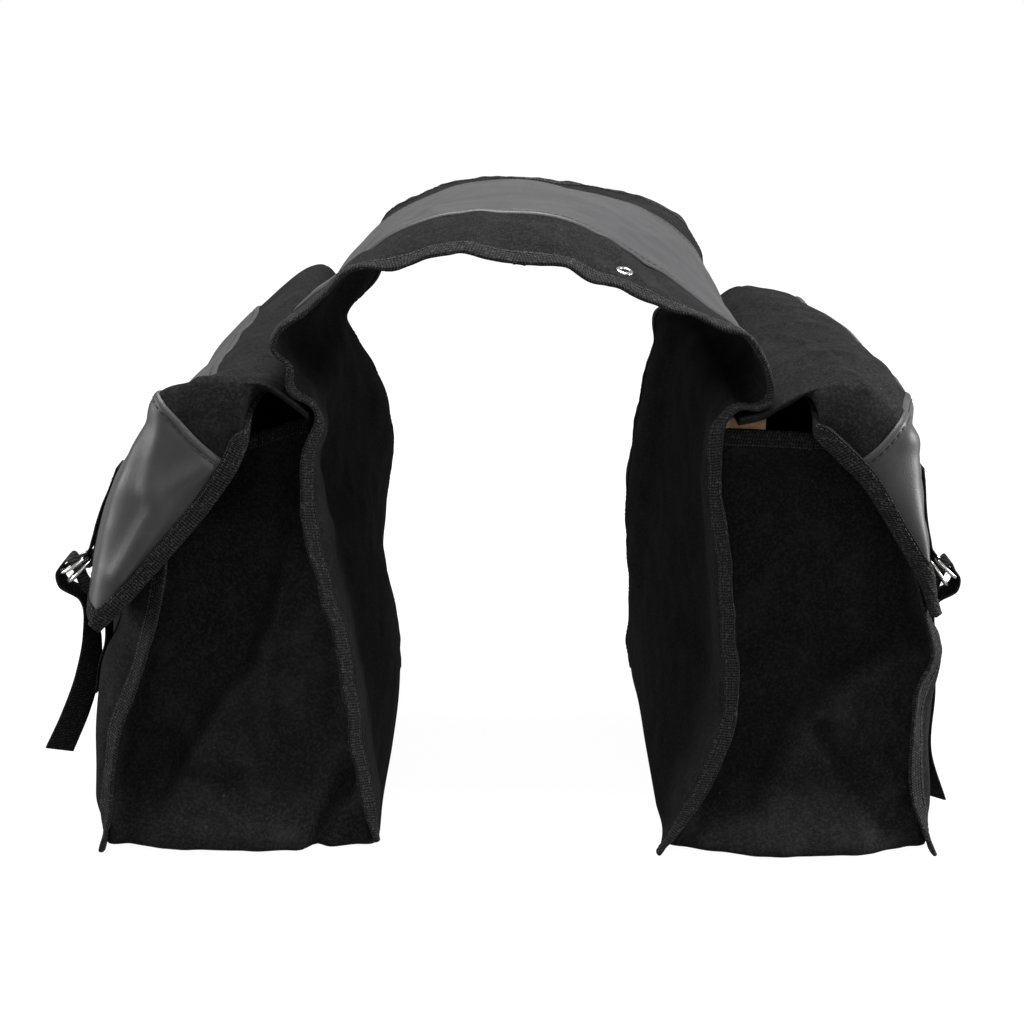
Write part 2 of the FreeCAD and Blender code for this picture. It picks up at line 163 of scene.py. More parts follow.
def folded(height, points, folds):
    """The height with a ridge or valley added for each (path, width, height) of the folds."""
    for path, width, tall in folds:
        height = height + crease(points, path, width, tall)
    return height


def beside(points, path):
    """Signed distance of 2-D points from a path: positive on its left-hand side."""
    path = np.asarray(path, float)
    best = np.full(points.shape[:-1], 1e9)
    signed = np.zeros(points.shape[:-1])
    for a, b in zip(path[:-1], path[1:]):
        span = b - a
        t = np.clip(((points - a) @ span) / (span @ span), 0, 1)
        away = points - a - t[..., None] * span
        distance = np.linalg.norm(away, axis=-1)
        cross = span[0] * (points[..., 1] - a[1]) - span[1] * (points[..., 0] - a[0])
        nearer = distance < best
        best = np.where(nearer, distance, best)
        signed = np.where(nearer, np.sign(cross) * distance, signed)
    return signed


def ripple(points, wavelength, seed):
    """Smooth random height, mostly from -1 to 1."""
    waves = 7
    rng = np.random.default_rng(seed)
    total = np.zeros(points.shape[:-1])
    for _ in range(waves):
        direction = unit(rng.normal(size=points.shape[-1]))
        scale = 2 * math.pi / (wavelength * rng.uniform(0.65, 1.6))
        total += np.sin(points @ direction * scale + rng.uniform(0, 2 * math.pi))
    return total / math.sqrt(waves)


# ---------------------------------------------------------------- meshes
def mesh_object(name, points, faces, uvs, material):
    mesh = bpy.data.meshes.new(name)
    mesh.from_pydata((np.asarray(points) * MM).tolist(), [], [list(f) for f in faces])
    layer = mesh.uv_layers.new(name="UVMap")
    corner = np.empty(len(mesh.loops), dtype=np.int64)
    mesh.loops.foreach_get("vertex_index", corner)
    layer.data.foreach_set("uv", (np.asarray(uvs)[corner] * MM).astype(np.float32).ravel())
    mesh.polygons.foreach_set("use_smooth", np.ones(len(mesh.polygons), dtype=bool))
    mesh.materials.append(material)
    obj = bpy.data.objects.new(name, mesh)
    bpy.context.scene.collection.objects.link(obj)
    return obj


def quads(rows, columns, close_rows=False, close_columns=False):
    """Faces of a grid of points, wrapped round where it is closed."""
    r = np.arange(rows if close_rows else rows - 1)
    c = np.arange(columns if close_columns else columns - 1)
    r, c = np.meshgrid(r, c, indexing="ij")
    r2 = (r + 1) % rows
    c2 = (c + 1) % columns
    corners = [r * columns + c, r * columns + c2, r2 * columns + c2, r2 * columns + c]
    return np.stack(corners, -1).reshape(-1, 4)


def shell(name, grid, toward, material, thickness=CLOTH, lift=0.0):
    """A sheet of cloth or leather with real thickness. The grid is its outer face."""
    rows, columns = grid.shape[:2]
    normal = normals_of(grid, toward)
    outer = grid + normal * np.broadcast_to(lift, (rows, columns))[..., None]
    inner = outer - normal * thickness
    uv = np.stack([lengths(grid, 1), lengths(grid, 0)], -1).reshape(-1, 2)
    front = quads(rows, columns)
    if (np.cross(grid[rows // 2, columns // 2 + 1] - grid[rows // 2, columns // 2],
                 grid[rows // 2 + 1, columns // 2] - grid[rows // 2, columns // 2])
            @ normal[rows // 2, columns // 2]) < 0:
        front = front[:, ::-1]
    count = rows * columns
    back = front[:, ::-1] + count
    number = np.arange(count).reshape(rows, columns)
    rim = np.concatenate([number[0, :-1], number[:-1, -1], number[-1, :0:-1], number[:0:-1, 0]])
    following = np.roll(rim, -1)
    edge = np.stack([following, rim, rim + count, following + count], -1)
    if front[0, 0] != 0 or front[0, 1] != 1:
        edge = edge[:, ::-1]
    points = np.concatenate([outer.reshape(-1, 3), inner.reshape(-1, 3)])
    obj = mesh_object(name, points, np.concatenate([front, back, edge]), np.concatenate([uv, uv]), material)
    smooth = np.ones(len(obj.data.polygons), dtype=bool)
    smooth[-len(edge):] = False
    obj.data.polygons.foreach_set("use_smooth", smooth)
    return obj


def tube(name, rings, uvs, material):
    """A closed tube through rings of points, with flat ends. rings has shape (stations, ring, 3)."""
    stations, around = rings.shape[:2]
    faces = quads(stations, around, close_columns=True).tolist()
    faces.append(list(range(around))[::-1])
    faces.append([(stations - 1) * around + i for i in range(around)])
    obj = mesh_object(name, rings.reshape(-1, 3), faces, uvs.reshape(-1, 2), material)
    return outward(obj)


def outward(obj):
    """Turns every face of a closed mesh outward."""
    bm = bmesh.new()
    bm.from_mesh(obj.data)
    bmesh.ops.recalc_face_normals(bm, faces=bm.faces)
    bm.to_mesh(obj.data)
    bm.free()
    return obj


def inset(grid, normal, distances):
    """Points and normals at these distances from the grid's first row, along each column."""
    run = lengths(grid, 0)
    rows = np.arange(grid.shape[0])
    at = np.stack([np.interp(distances, run[:, c], rows) for c in range(grid.shape[1])], 1)
    low = np.clip(np.floor(at).astype(int), 0, grid.shape[0] - 2)
    part = (at - low)[..., None]
    column = np.arange(grid.shape[1])[None, :]
    points = grid[low, column] * (1 - part) + grid[low + 1, column] * part
    turned = normal[low, column] * (1 - part) + normal[low + 1, column] * part
    return points, unit(turned)


def finer(grid, factor):
    """The grid with this many columns for each one."""
    columns = np.linspace(0, grid.shape[1] - 1, (grid.shape[1] - 1) * factor + 1)
    return patch(grid, np.arange(grid.shape[0]), columns)


def binding(name, grid, toward, seed, half=1.0):
    """Ribbed tape folded over the grid's first row and stitched down on both faces."""
    grid = finer(grid[: min(grid.shape[0], 14)], 2)
    normal = normals_of(grid, toward)
    distances = np.array([0.0, 1.2, 3.5, 6.0, 8.0, 9.2, 10.2, TAPE])
    relief = np.array([0.55, 0.95, 1.05, 1.0, 0.85, 0.62, 0.85, 0.7])
    points, turned = inset(grid, normal, distances)
    inwards = unit(points[1] - points[0])
    middle = CLOTH / 2
    puckered = 1 + 0.25 * ripple(points, 9.0, seed)
    face, back, uv_face, uv_back = [], [], [], []
    run = lengths(grid, 1)[0]
    for i, distance in enumerate(distances):
        height = middle + half * relief[i] * puckered[i][:, None]
        face.append(points[i] - turned[i] * middle + turned[i] * height)
        back.append(points[i] - turned[i] * middle - turned[i] * height)
        uv_face.append(np.stack([run, np.full_like(run, distance + 3)], -1))
        uv_back.append(np.stack([run, np.full_like(run, -distance - 3)], -1))
    nose = points[0] - turned[0] * middle - inwards * 0.9
    ring = np.stack(face[::-1] + [nose] + back, 1)
    uv = np.stack(uv_face[::-1] + [np.stack([run, np.zeros_like(run)], -1)] + uv_back, 1)
    tape = tube(name, ring, uv, BINDING)
    line, up = inset(grid, normal, np.array([9.2]))
    stitched = []
    for sign, label in ((1.0, "face"), (-1.0, "back")):
        path = line[0] - up[0] * middle + sign * up[0] * (middle + half * 0.66)
        stitched.append(stitches(f"{name}_stitches_{label}", path, sign * up[0]))
    return [tape] + stitched


def stitches(name, path, up, pitch=3.6, length=2.7, radius=0.36):
    """A row of sewn stitches, each a short rounded bar lying on the surface."""
    run = np.r_[0, np.cumsum(np.linalg.norm(np.diff(path, axis=0), axis=1))]
    centres = np.arange(pitch, run[-1] - pitch * 0.5, pitch)

    def at(values, s):
        return np.stack([np.interp(s, run, values[:, k]) for k in range(3)], -1)

    where = at(path, centres)
    ahead = unit(at(path, centres + 0.4 * length) - at(path, centres - 0.4 * length))
    above = unit(at(up, centres))
    side = unit(np.cross(ahead, above))
    above = np.cross(side, ahead)
    offsets = [(-0.5, 0.35), (-0.34, 0.9), (0.0, 1.0), (0.34, 0.9), (0.5, 0.35)]
    around = 6
    rings = []
    for along, fat in offsets:
        for k in range(around):
            angle = 2 * math.pi * k / around
            rings.append(where + ahead * along * length
                         + side * math.cos(angle) * radius * fat
                         + above * (math.sin(angle) * radius * fat + radius * 0.2))
    points = np.stack(rings, 1).reshape(-1, 3)
    per = around * len(offsets)
    one = quads(len(offsets), around, close_columns=True).tolist()
    one += [list(range(around))[::-1], [per - around + k for k in range(around)]]
    faces = [[v + per * n for v in face] for n in range(len(centres)) for face in one]
    uv = np.zeros((len(points), 2))
    uv[:, 0] = np.repeat(centres, per)
    uv[:, 1] = np.tile(np.arange(per) % around, len(centres)) * 0.3
    return outward(mesh_object(name, points, faces, uv, THREAD))


def ribbon(name, centres, wides, ups):
    """Webbing along a path. wides are directions across it, and ups the directions out of its face."""
    centres = np.asarray(centres, float)
    run = np.r_[0, np.cumsum(np.linalg.norm(np.diff(centres, axis=0), axis=1))]
    s = np.linspace(0, run[-1], int(run[-1] / 1.5) + 2)
    line = through(run, centres, s)
    wide = unit(through(run, np.asarray(wides, float), s))
    ahead = unit(np.gradient(line, axis=0))
    wide = unit(wide - ahead * (wide * ahead).sum(-1, keepdims=True))
    up = np.cross(ahead, wide)
    if (up * unit(through(run, np.asarray(ups, float), s))).sum() < 0:
        up = -up
    across = np.array([-0.5, -0.47, -0.25, 0, 0.25, 0.47, 0.5])
    fat = np.array([0.5, 0.95, 1.0, 1.0, 1.0, 0.95, 0.5])
    face = [line + wide * WEB_WIDTH * a + up * WEB_THICK / 2 * f for a, f in zip(across, fat)]
    back = [line + wide * WEB_WIDTH * a - up * WEB_THICK / 2 * f for a, f in zip(across[::-1], fat[::-1])]
    ring = np.stack(face + back, 1)
    v = np.r_[across * WEB_WIDTH, across[::-1] * WEB_WIDTH + 40]
    uv = np.stack(np.broadcast_arrays(s[:, None], v[None, :]), -1)
    return tube(name, ring, uv, WEBBING)


def torus(name, centre, normal, radius, wire, material):
    """A ring of wire about the normal."""
    around, section = 72, 16
    normal = unit(np.asarray(normal, float))
    first = unit(np.cross(normal, [0.0, 1.0, 0.02]))
    second = np.cross(normal, first)
    a = np.linspace(0, 2 * math.pi, around, endpoint=False)[:, None]
    b = np.linspace(0, 2 * math.pi, section, endpoint=False)[None, :]
    out = np.cos(a)[..., None] * first + np.sin(a)[..., None] * second
    reach = (radius + wire * np.cos(b))[..., None]
    points = np.asarray(centre) + out * reach + np.sin(b)[..., None] * wire * normal
    faces = quads(around, section, close_rows=True, close_columns=True)
    uv = np.stack(np.broadcast_arrays(a * radius, b * wire), -1)
    return outward(mesh_object(name, points.reshape(-1, 3), faces, uv.reshape(-1, 2), material))


def join(name, objects):
    """Joins meshes into the first one and gives it a name."""
    bpy.ops.object.select_all(action="DESELECT")
    for obj in objects:
        obj.select_set(True)
    bpy.context.view_layer.objects.active = objects[0]
    bpy.ops.object.join()
    objects[0].name = name
    objects[0].data.name = name
    return objects[0]


# ---------------------------------------------------------------- materials
class Shade:
    """A node material, built a node at a time."""

    def __init__(self, name, **sockets):
        self.material = bpy.data.materials.new(name)
        self.material.use_nodes = True
        self.tree = self.material.node_tree
        self.surface = self.tree.nodes["Principled BSDF"]
        for key, number in sockets.items():
            self.surface.inputs[key.replace("_", " ")].default_value = number

    def node(self, kind, links=None, **settings):
        made = self.tree.nodes.new(kind)
        for key, setting in settings.items():
            setattr(made, key, setting)
        for key, source in (links or {}).items():
            if isinstance(source, bpy.types.NodeSocket):
                self.tree.links.new(source, made.inputs[key])
            else:
                made.inputs[key].default_value = source
        return made

    def math(self, operation, a, b=0.0):
        return self.node("ShaderNodeMath", {0: a, 1: b}, operation=operation).outputs[0]

    def sine(self, source, pitch):
        """A wave from 0 to 1 with this pitch in metres along a UV axis."""
        turned = self.math("SINE", self.math("MULTIPLY", source, 2 * math.pi / pitch))
        return self.math("ADD", self.math("MULTIPLY", turned, 0.5), 0.5)

    def uv(self):
        source = self.node("ShaderNodeUVMap", uv_map="UVMap").outputs[0]
        split = self.node("ShaderNodeSeparateXYZ", {0: source})
        return split.outputs[0], split.outputs[1]

    def place(self):
        return self.node("ShaderNodeTexCoord").outputs["Object"]

    def stretched(self, source, scale):
        return self.node("ShaderNodeMapping", {"Vector": source, "Scale": scale}).outputs[0]

    def noise(self, source, scale, detail):
        settings = {"Vector": source, "Scale": scale, "Detail": detail, "Roughness": 0.55}
        return self.node("ShaderNodeTexNoise", settings).outputs[0]

    def cells(self, source, scale):
        """Distance from the nearest of many scattered points."""
        settings = {"Vector": source, "Scale": scale}
        return self.node("ShaderNodeTexVoronoi", settings, feature="F1").outputs["Distance"]

    def patches(self, source, scale, detail, low, high):
        """A mask of scattered patches, 0 where the noise is below low and 1 where it is above high."""
        return self.ramp(self.noise(source, scale, detail), [(low, (0, 0, 0)), (high, (1, 1, 1))])

    def ramp(self, source, stops):
        made = self.node("ShaderNodeValToRGB", {0: source})
        elements = made.color_ramp.elements
        while len(elements) < len(stops):
            elements.new(0.5)
        for element, (position, color) in zip(elements, stops):
            element.position = position
            element.color = color if len(color) == 4 else (*color, 1.0)
        return made.outputs[0]

    def mix(self, factor, a, b):
        made = self.node("ShaderNodeMix", data_type="RGBA")
        for index, source in ((0, factor), (6, a), (7, b)):
            if isinstance(source, bpy.types.NodeSocket):
                self.tree.links.new(source, made.inputs[index])
            elif index == 0:
                made.inputs[index].default_value = source
            else:
                made.inputs[index].default_value = (*source, 1.0)
        return made.outputs[2]

    def finish(self, color, height=None, distance=None, strength=None, roughness=None):
        """Links the colour, the roughness if it varies, and the bump if there is a height."""
        self.tree.links.new(color, self.surface.inputs["Base Color"])
        if roughness is not None:
            self.tree.links.new(roughness, self.surface.inputs["Roughness"])
        if height is not None:
            made = self.node("ShaderNodeBump", {"Height": height, "Distance": distance, "Strength": strength})
            self.tree.links.new(made.outputs[0], self.surface.inputs["Normal"])
        return self.material


def grey(level, blue=1.04):
    return (level, level, level * blue)


def canvas_material():
    s = Shade("canvas_weave", Roughness=0.95, Specular_IOR_Level=0.06)
    u, v = s.uv()
    place = s.place()
    weave = s.math("MULTIPLY", s.sine(u, 0.0011), s.sine(v, 0.0011))
    fuzz = s.noise(place, 900.0, 2.0)
    cloudy = s.noise(place, 14.0, 4.0)
    base = s.ramp(cloudy, [(0.3, grey(0.005)), (0.7, grey(0.010))])
    threads = s.mix(s.math("MULTIPLY", weave, 0.8), base, grey(0.018))
    worn = s.patches(place, 520.0, 4.0, 0.44, 0.66)
    color = s.mix(s.math("MULTIPLY", worn, 0.6), threads, grey(0.028))
    rubbed = s.patches(place, 48.0, 5.0, 0.5, 0.72)
    color = s.mix(s.math("MULTIPLY", rubbed, 0.35), color, grey(0.03))
    fleck = s.ramp(s.cells(place, 62.0), [(0.0, (1, 1, 1)), (0.046, (0, 0, 0))])
    color = s.mix(s.math("MULTIPLY", fleck, 0.55), color, grey(0.16, 0.95))
    height = s.math("ADD", s.math("MULTIPLY", weave, 0.7), s.math("MULTIPLY", fuzz, 0.6))
    return s.finish(color, height, 0.00035, 0.75)


def leather_material(name, level):
    s = Shade(name, Roughness=0.5, Specular_IOR_Level=0.45, Coat_Weight=0.06, Coat_Roughness=0.4)
    place = s.place()
    cells = s.cells(place, 1150.0)
    pores = s.noise(place, 1700.0, 2.0)
    soft = s.noise(place, 42.0, 4.0)
    grain = s.math("ADD", s.math("MULTIPLY", cells, 0.55), s.math("MULTIPLY", pores, 0.35))
    height = s.math("ADD", grain, s.math("MULTIPLY", soft, 1.6))
    tone = s.ramp(s.noise(place, 22.0, 4.0), [(0.3, grey(level * 0.85)), (0.7, grey(level * 1.15))])
    drawn = s.noise(s.stretched(place, (14.0, 60.0, 14.0)), 1.0, 5.0)
    streaks = s.ramp(drawn, [(0.35, grey(level * 0.72)), (0.66, grey(level * 1.3))])
    tone = s.mix(0.6, tone, streaks)
    scuffs = s.patches(place, 130.0, 6.0, 0.58, 0.72)
    color = s.mix(s.math("MULTIPLY", scuffs, 0.18), tone, grey(level * 2.4))
    roughness = s.ramp(s.noise(place, 60.0, 4.0), [(0.3, (0.42,) * 3), (0.7, (0.56,) * 3)])
    return s.finish(color, height, 0.00022, 0.5, roughness)


def ribbed_material(name, pitch, low, high):
    """Woven tape: ribs across it and fine lines along it, with paler fibres here and there."""
    s = Shade(name, Roughness=0.8, Specular_IOR_Level=0.15)
    u, v = s.uv()
    slanted = s.math("ADD", u, s.math("MULTIPLY", v, 0.22))
    ribs = s.sine(slanted, pitch)
    lines = s.sine(v, 0.0024)
    rib = s.math("MULTIPLY", ribs, s.math("ADD", s.math("MULTIPLY", lines, 0.7), 0.3))
    place = s.place()
    uneven = s.noise(place, 420.0, 3.0)
    amount = s.math("MULTIPLY", rib, s.math("ADD", uneven, 0.35))
    tone = s.ramp(amount, [(0.1, grey(low)), (0.6, grey(high))])
    fibres = s.patches(place, 620.0, 3.0, 0.56, 0.66)
    color = s.mix(s.math("MULTIPLY", fibres, 0.6), tone, grey(high * 3.0))
    return s.finish(color, s.math("ADD", rib, s.math("MULTIPLY", uneven, 0.35)), 0.00055, 0.85)


def thread_material():
    s = Shade("sewing_thread", Roughness=0.55, Specular_IOR_Level=0.5)
    u, v = s.uv()
    twist = s.sine(s.math("ADD", u, v), 0.0009)
    color = s.mix(twist, grey(0.006), grey(0.028))
    return s.finish(color, twist, 0.0001, 0.6)


def board_material():
    s = Shade("fibreboard", Roughness=0.82, Specular_IOR_Level=0.25)
    place = s.place()
    streak = s.noise(s.stretched(place, (220.0, 40.0, 900.0)), 1.0, 5.0)
    speck = s.noise(place, 1500.0, 3.0)
    browns = [(0.3, (0.30, 0.17, 0.095)), (0.55, (0.46, 0.29, 0.175)), (0.75, (0.62, 0.43, 0.28))]
    tone = s.ramp(streak, browns)
    color = s.mix(s.math("MULTIPLY", speck, 0.35), tone, (0.22, 0.12, 0.07))
    return s.finish(color, s.math("ADD", streak, speck), 0.0003, 0.5)


def metal_material():
    s = Shade("nickel_plate", Metallic=1.0, Roughness=0.2)
    place = s.place()
    tone = s.ramp(s.noise(place, 240.0, 4.0), [(0.35, (0.62, 0.61, 0.59)), (0.65, (0.86, 0.86, 0.85))])
    roughness = s.ramp(s.noise(place, 700.0, 5.0), [(0.3, (0.12,) * 3), (0.75, (0.34,) * 3)])
    scratch = s.noise(s.stretched(place, (3000.0, 300.0, 300.0)), 1.0, 3.0)
    return s.finish(tone, scratch, 0.00006, 0.35, roughness)


def floor_material():
    s = Shade("studio_floor", Roughness=0.9, Specular_IOR_Level=0.1)
    s.surface.inputs["Emission Color"].default_value = (1, 1, 1, 1)
    s.surface.inputs["Emission Strength"].default_value = 0.965
    color = s.ramp(s.noise(s.place(), 3.0, 2.0), [(0.3, (0.12,) * 3), (0.7, (0.14,) * 3)])
    return s.finish(color)


CANVAS = canvas_material()
LEATHER = leather_material("leather_grain", 0.040)
BINDING = ribbed_material("grosgrain_tape", 0.0018, 0.003, 0.024)
WEBBING = ribbed_material("webbing_weave", 0.0021, 0.004, 0.022)
THREAD = thread_material()
BOARD = board_material()
METAL = metal_material()


# ---------------------------------------------------------------- saddle cloth
# Each profile runs from the crown's middle, over the shoulder, round the hook under it and down the panel
# that faces the rack. X is the distance from the middle on that side. All in millimetres.
PANEL_HEIGHTS = [268, 240, 194, 140, 100, 70, 40, 18, 0.8]


def down(xs):
    return list(zip(xs, PANEL_HEIGHTS))


SADDLE = {
    "right": [
        (-170, [(0, 374.8), (22, 372.6), (54, 361.5), (82, 349.7), (106, 341), (126.5, 334.9), (138, 327),
                (148, 311), (151.4, 299), (148.5, 289.8), (141, 285.8), (129.3, 286.8), (123.5, 279)]
         + down([122, 122, 128, 133, 135, 130.5, 119, 104, 88])),
        (-150, [(0, 384), (22, 380), (54, 367.5), (82, 355.5), (106, 344.5), (125, 336), (137, 327),
                (147, 311), (150.4, 299), (147.5, 290.5), (140, 286.6), (129, 287), (123.5, 279)]
         + down([121.8, 121.5, 126, 130.5, 132.5, 128, 117, 105, 93])),
        (-100, [(0, 394), (26, 390.5), (57, 377), (88, 359), (107, 345), (124, 332), (136, 322),
                (146, 310), (149.4, 299.5), (146.5, 291), (139, 287), (129, 287), (123, 279)]
         + down([121, 119.5, 121, 124, 124, 120, 111, 101, 93])),
        (0, [(0, 401.5), (32, 396.5), (62, 387.5), (90, 372.5), (108, 359), (123, 343), (134, 328),
             (143, 314), (147, 302), (144.5, 293), (137, 288), (128, 287), (121.5, 279)]
         + down([118.5, 114, 111, 108, 106, 104, 101, 97, 93])),
        (100, [(0, 394), (34, 387.5), (66, 381), (95, 370), (113, 358.5), (126, 345), (135, 330),
               (141, 314), (142, 301), (138, 292.5), (131, 288), (124, 286), (119, 278)]
         + down([116, 110, 103, 99, 97, 95, 93, 93, 93])),
        (130, [(0, 391.5), (35, 386), (66, 380.5), (96, 372), (117, 360.5), (129, 346), (136, 330),
               (139, 314), (138, 301), (132, 293), (124, 289), (117, 286), (114, 278)]
         + down([112, 106, 98, 93.5, 93, 93.5, 93, 92, 92])),
        (170, [(0, 389), (35, 384.8), (66, 379.8), (95, 373.8), (118, 362), (131, 347.5), (138, 330),
               (138, 314), (134, 302), (124, 294), (113, 290.5), (105.5, 287), (105, 278)]
         + down([107, 100, 91.5, 87.5, 89, 91.5, 91, 90, 92])),
    ],
    "left": [
        (-170, [(0, 374.8), (20, 377.8), (34, 381.2), (52, 378), (76, 372.3), (101, 369.5), (114, 358),
                (127, 345.6), (142, 336.5), (147.5, 325), (144.5, 318.5), (136.5, 313), (137, 300)]
         + [(124, 288.5), (122, 279.4), (126.5, 268.4), (131.5, 252), (131, 225), (128, 196), (117, 155),
            (108, 96), (101, 42), (90.5, 7)]),
        (-150, [(0, 384), (20, 386.5), (33, 388.5), (50, 387), (86, 377.5), (104, 369), (116, 357.5),
                (128, 347), (142, 336), (147.5, 325), (145.5, 316), (139.5, 309), (136, 299)]
         + [(125, 288.5), (122.5, 279.4), (125.5, 268.4), (129.5, 252), (129, 225), (126, 196), (116, 155),
            (107, 96), (99.5, 42), (91, 3)]),
        (-100, [(0, 394), (18, 394), (33, 393.3), (50, 391), (82, 378.5), (101.7, 364), (116, 353),
                (129, 344), (140, 333), (145.5, 322), (145, 312.5), (140.5, 305), (134, 296.5)]
         + [(126, 289), (122.5, 280), (124, 268.4), (127, 252), (126.5, 225), (122, 196), (111, 155),
            (103, 96), (97, 40), (92.5, 0.8)]),
        (0, [(0, 401.5), (22, 400.3), (42, 395.5), (60, 388), (79, 378), (94.5, 366), (107.5, 352),
             (119, 339), (128.5, 326.5), (134.5, 315.5), (137, 307), (136, 299.5), (131.5, 293)]
         + [(125.5, 287), (122.8, 279.4), (123, 268.4), (122, 252), (117.5, 225), (111, 196), (103, 155),
            (93, 96), (88.5, 40), (92, 0.8)]),
        (100, [(0, 394), (22, 392.5), (42, 389), (60, 382), (80, 373), (94.5, 364.5), (104.5, 356),
               (112.5, 346.5), (119, 335.5), (124, 325), (127.5, 314), (129.5, 304), (129.5, 295)]
         + [(127.5, 287), (125.5, 279), (122, 268.4), (117.5, 252), (111, 225), (105, 196), (103, 155),
            (101, 96), (92, 40), (93, 0.8)]),
        (130, [(0, 391.5), (21, 391), (42, 388.5), (62, 381), (82, 372), (97, 363.5), (104.5, 354.5),
               (108.5, 345), (111, 335), (112.5, 325), (115.5, 314.5), (121, 305), (127, 296.5)]
         + [(129.5, 288.5), (129, 280), (124.5, 268.4), (117.5, 252), (107, 225), (102.5, 196), (104, 155),
            (107, 96), (95.5, 40), (94, 0.8)]),
        (170, [(0, 389), (21, 389), (43, 386.3), (66, 379), (86, 370), (98, 362), (103.5, 352),
               (105, 342), (104, 332), (103.5, 321), (110, 311), (119, 303), (128, 295.5)]
         + [(134, 288.5), (132, 280), (126.5, 268.4), (119, 252), (104.5, 225), (101, 196), (104.5, 155),
            (111, 96), (99, 40), (96, 0.8)]),
    ],
}


# Each fold is a path, a width and a height, and a negative height is a valley. X is the distance from the
# middle, except in the band's folds, where it is the scene's own.
SADDLE_FOLDS = {
    "right": [
        ([(54, -104, 377), (67, -138, 365), (80, -168, 351)], 6.5, 2.6),
        ([(20, -150, 382), (50, -128, 376), (58, -118, 374)], 6.0, 1.6),
        ([(80, -104, 365), (92, -128, 352), (104, -150, 343)], 7.0, -1.8),
        ([(128, -165, 330), (140, -120, 318), (146, -60, 306)], 9.0, 1.6),
        ([(120, -150, 240), (112, -60, 190), (100, 40, 150)], 16.0, -2.0),
        ([(118, -160, 90), (110, -70, 120), (98, 60, 110)], 14.0, 2.0),
    ],
    "left": [
        ([(34, -170, 382), (30, -140, 391), (24, -104, 395)], 9.0, 2.2),
        ([(60, -168, 377), (80, -130, 381), (92, -104, 374)], 6.0, -1.8),
        ([(104, -170, 367), (100, -140, 371), (92, -104, 374)], 6.0, 1.8),
        ([(136, -168, 262), (120, -120, 240), (112, -40, 205)], 9.0, 2.6),
        ([(128, -165, 214), (116, -90, 190), (100, 20, 176)], 12.0, -2.4),
        ([(96, 20, 128), (92, 80, 126), (100, 165, 118)], 7.0, 3.0),
        ([(90, 20, 34), (92, 90, 30), (96, 165, 26)], 9.0, 2.0),
    ],
}
BAND_FOLDS = {
    "right": [
        ([(40, -96, 390), (88, -40, 372), (122, 60, 348)], 7.0, 1.2),
        ([(20, -60, 401), (70, 0, 392), (112, 70, 366)], 6.0, -1.0),
    ],
    "left": [
        ([(-50, -92, 392), (-62, -40, 394), (-80, 40, 386)], 5.0, 1.6),
        ([(-88, -90, 374), (-96, -30, 374), (-104, 60, 368)], 7.0, -1.2),
        ([(-66, -92, 387), (-74, 0, 390), (-84, 80, 380)], 6.0, -1.0),
    ],
}


def flange(y, reach):
    """How far a panel stands off its sewn front and rear edges, which turn toward the wall between them."""
    near = np.minimum(END + y, END - y)
    return np.where(y < 0, reach, 0.35 * reach) * step_up(near, 0, 13) * (1 - step_up(near, 22, 75))


CORNER = {"left": 3.0, "right": 8.0}


def corner(y, z, side):
    """How far a panel's front bottom corner is drawn forward by the floor's sewn edge."""
    return CORNER[side] * (1 - step_up(z, 0, 26)) * (1 - step_up(END + y, 0, 34))


MIDDLE = 3     # the column of the saddle's grid that lies on the middle, until its first one is dropped


def saddle_grid(side):
    """The cloth from the crown's middle down to the floor edge, with its folds."""
    k = SIDES[side]
    other = SADDLE["left" if side == "right" else "right"]
    past = 2
    rows = [(y, [(-x, z) for x, z in line[past:0:-1]] + list(mine))
            for (y, mine), (_, line) in zip(SADDLE[side], other)]
    ys = np.unique(np.r_[np.linspace(-END, -END + 12, 8), np.linspace(-END + 12, END - 12, 110),
                         np.linspace(END - 12, END, 8)])
    flat, knots = loft(rows, None, 250, ys)
    grid = with_y(flat, ys)
    first = knots[past] / knots[-1] * (grid.shape[1] - 1)
    grid = patch(grid, np.arange(len(ys)), np.linspace(first - MIDDLE, grid.shape[1] - 1, 233))
    grid = grid * np.array([k, 1, 1])
    y, z = grid[..., 1], grid[..., 2]
    normal = normals_of(grid, (0.2 * k, 0, 1))
    run = np.abs(lengths(grid, 1) - lengths(grid, 1)[:, MIDDLE:MIDDLE + 1])
    height = 0.9 * ripple(grid, 95.0, 11) + 0.35 * ripple(grid, 38.0, 21)
    droop = bump(y, -138, 22) * step_up(run, 8, 60) * step_up(260 - run, 60, 120)
    height = height - 1.6 * droop * (0.6 + 0.4 * ripple(grid, 70.0, 31))
    height = folded(height, grid * np.array([k, 1, 1]), SADDLE_FOLDS[side])
    anchored = step_up(np.minimum(END + y, END - y), 2, 26)
    foot = step_up(z, 1.0, 22.0)
    grid[..., 0] -= k * flange(y, 7.0) * (1 - step_up(z, 268, 286)) * step_up(z, 4, 30)
    wavy = 1.1 * ripple(grid, 26.0, 41) * (1 - anchored) * step_up(run, 5, 30) * foot
    grid = grid + normal * (height * (0.25 + 0.75 * anchored) * foot + wavy)[..., None]
    grid[..., 1] -= corner(y, z, side)
    slack = grid[:, MIDDLE, 0].copy()
    grid[..., 0] -= slack[:, None] * (1 - step_up(run, 0, 12))
    # Two columns run on past the middle, just under the other side's cloth, so that no rim shows there.
    grid[:, 1, 2] -= 0.6
    grid[:, 2, 2] -= 0.06
    return grid[:, 1:]


def edge_lift(distance):
    """How far a turned and sewn leather edge stands off what it lies on."""
    from_edge = [0, 0.7, 1.6, 3.2, 4.6, 5.6, 7.5, 14]
    return np.interp(distance, from_edge, [0.25, 1.15, 1.65, 1.75, 1.2, 1.05, 1.5, 1.35])


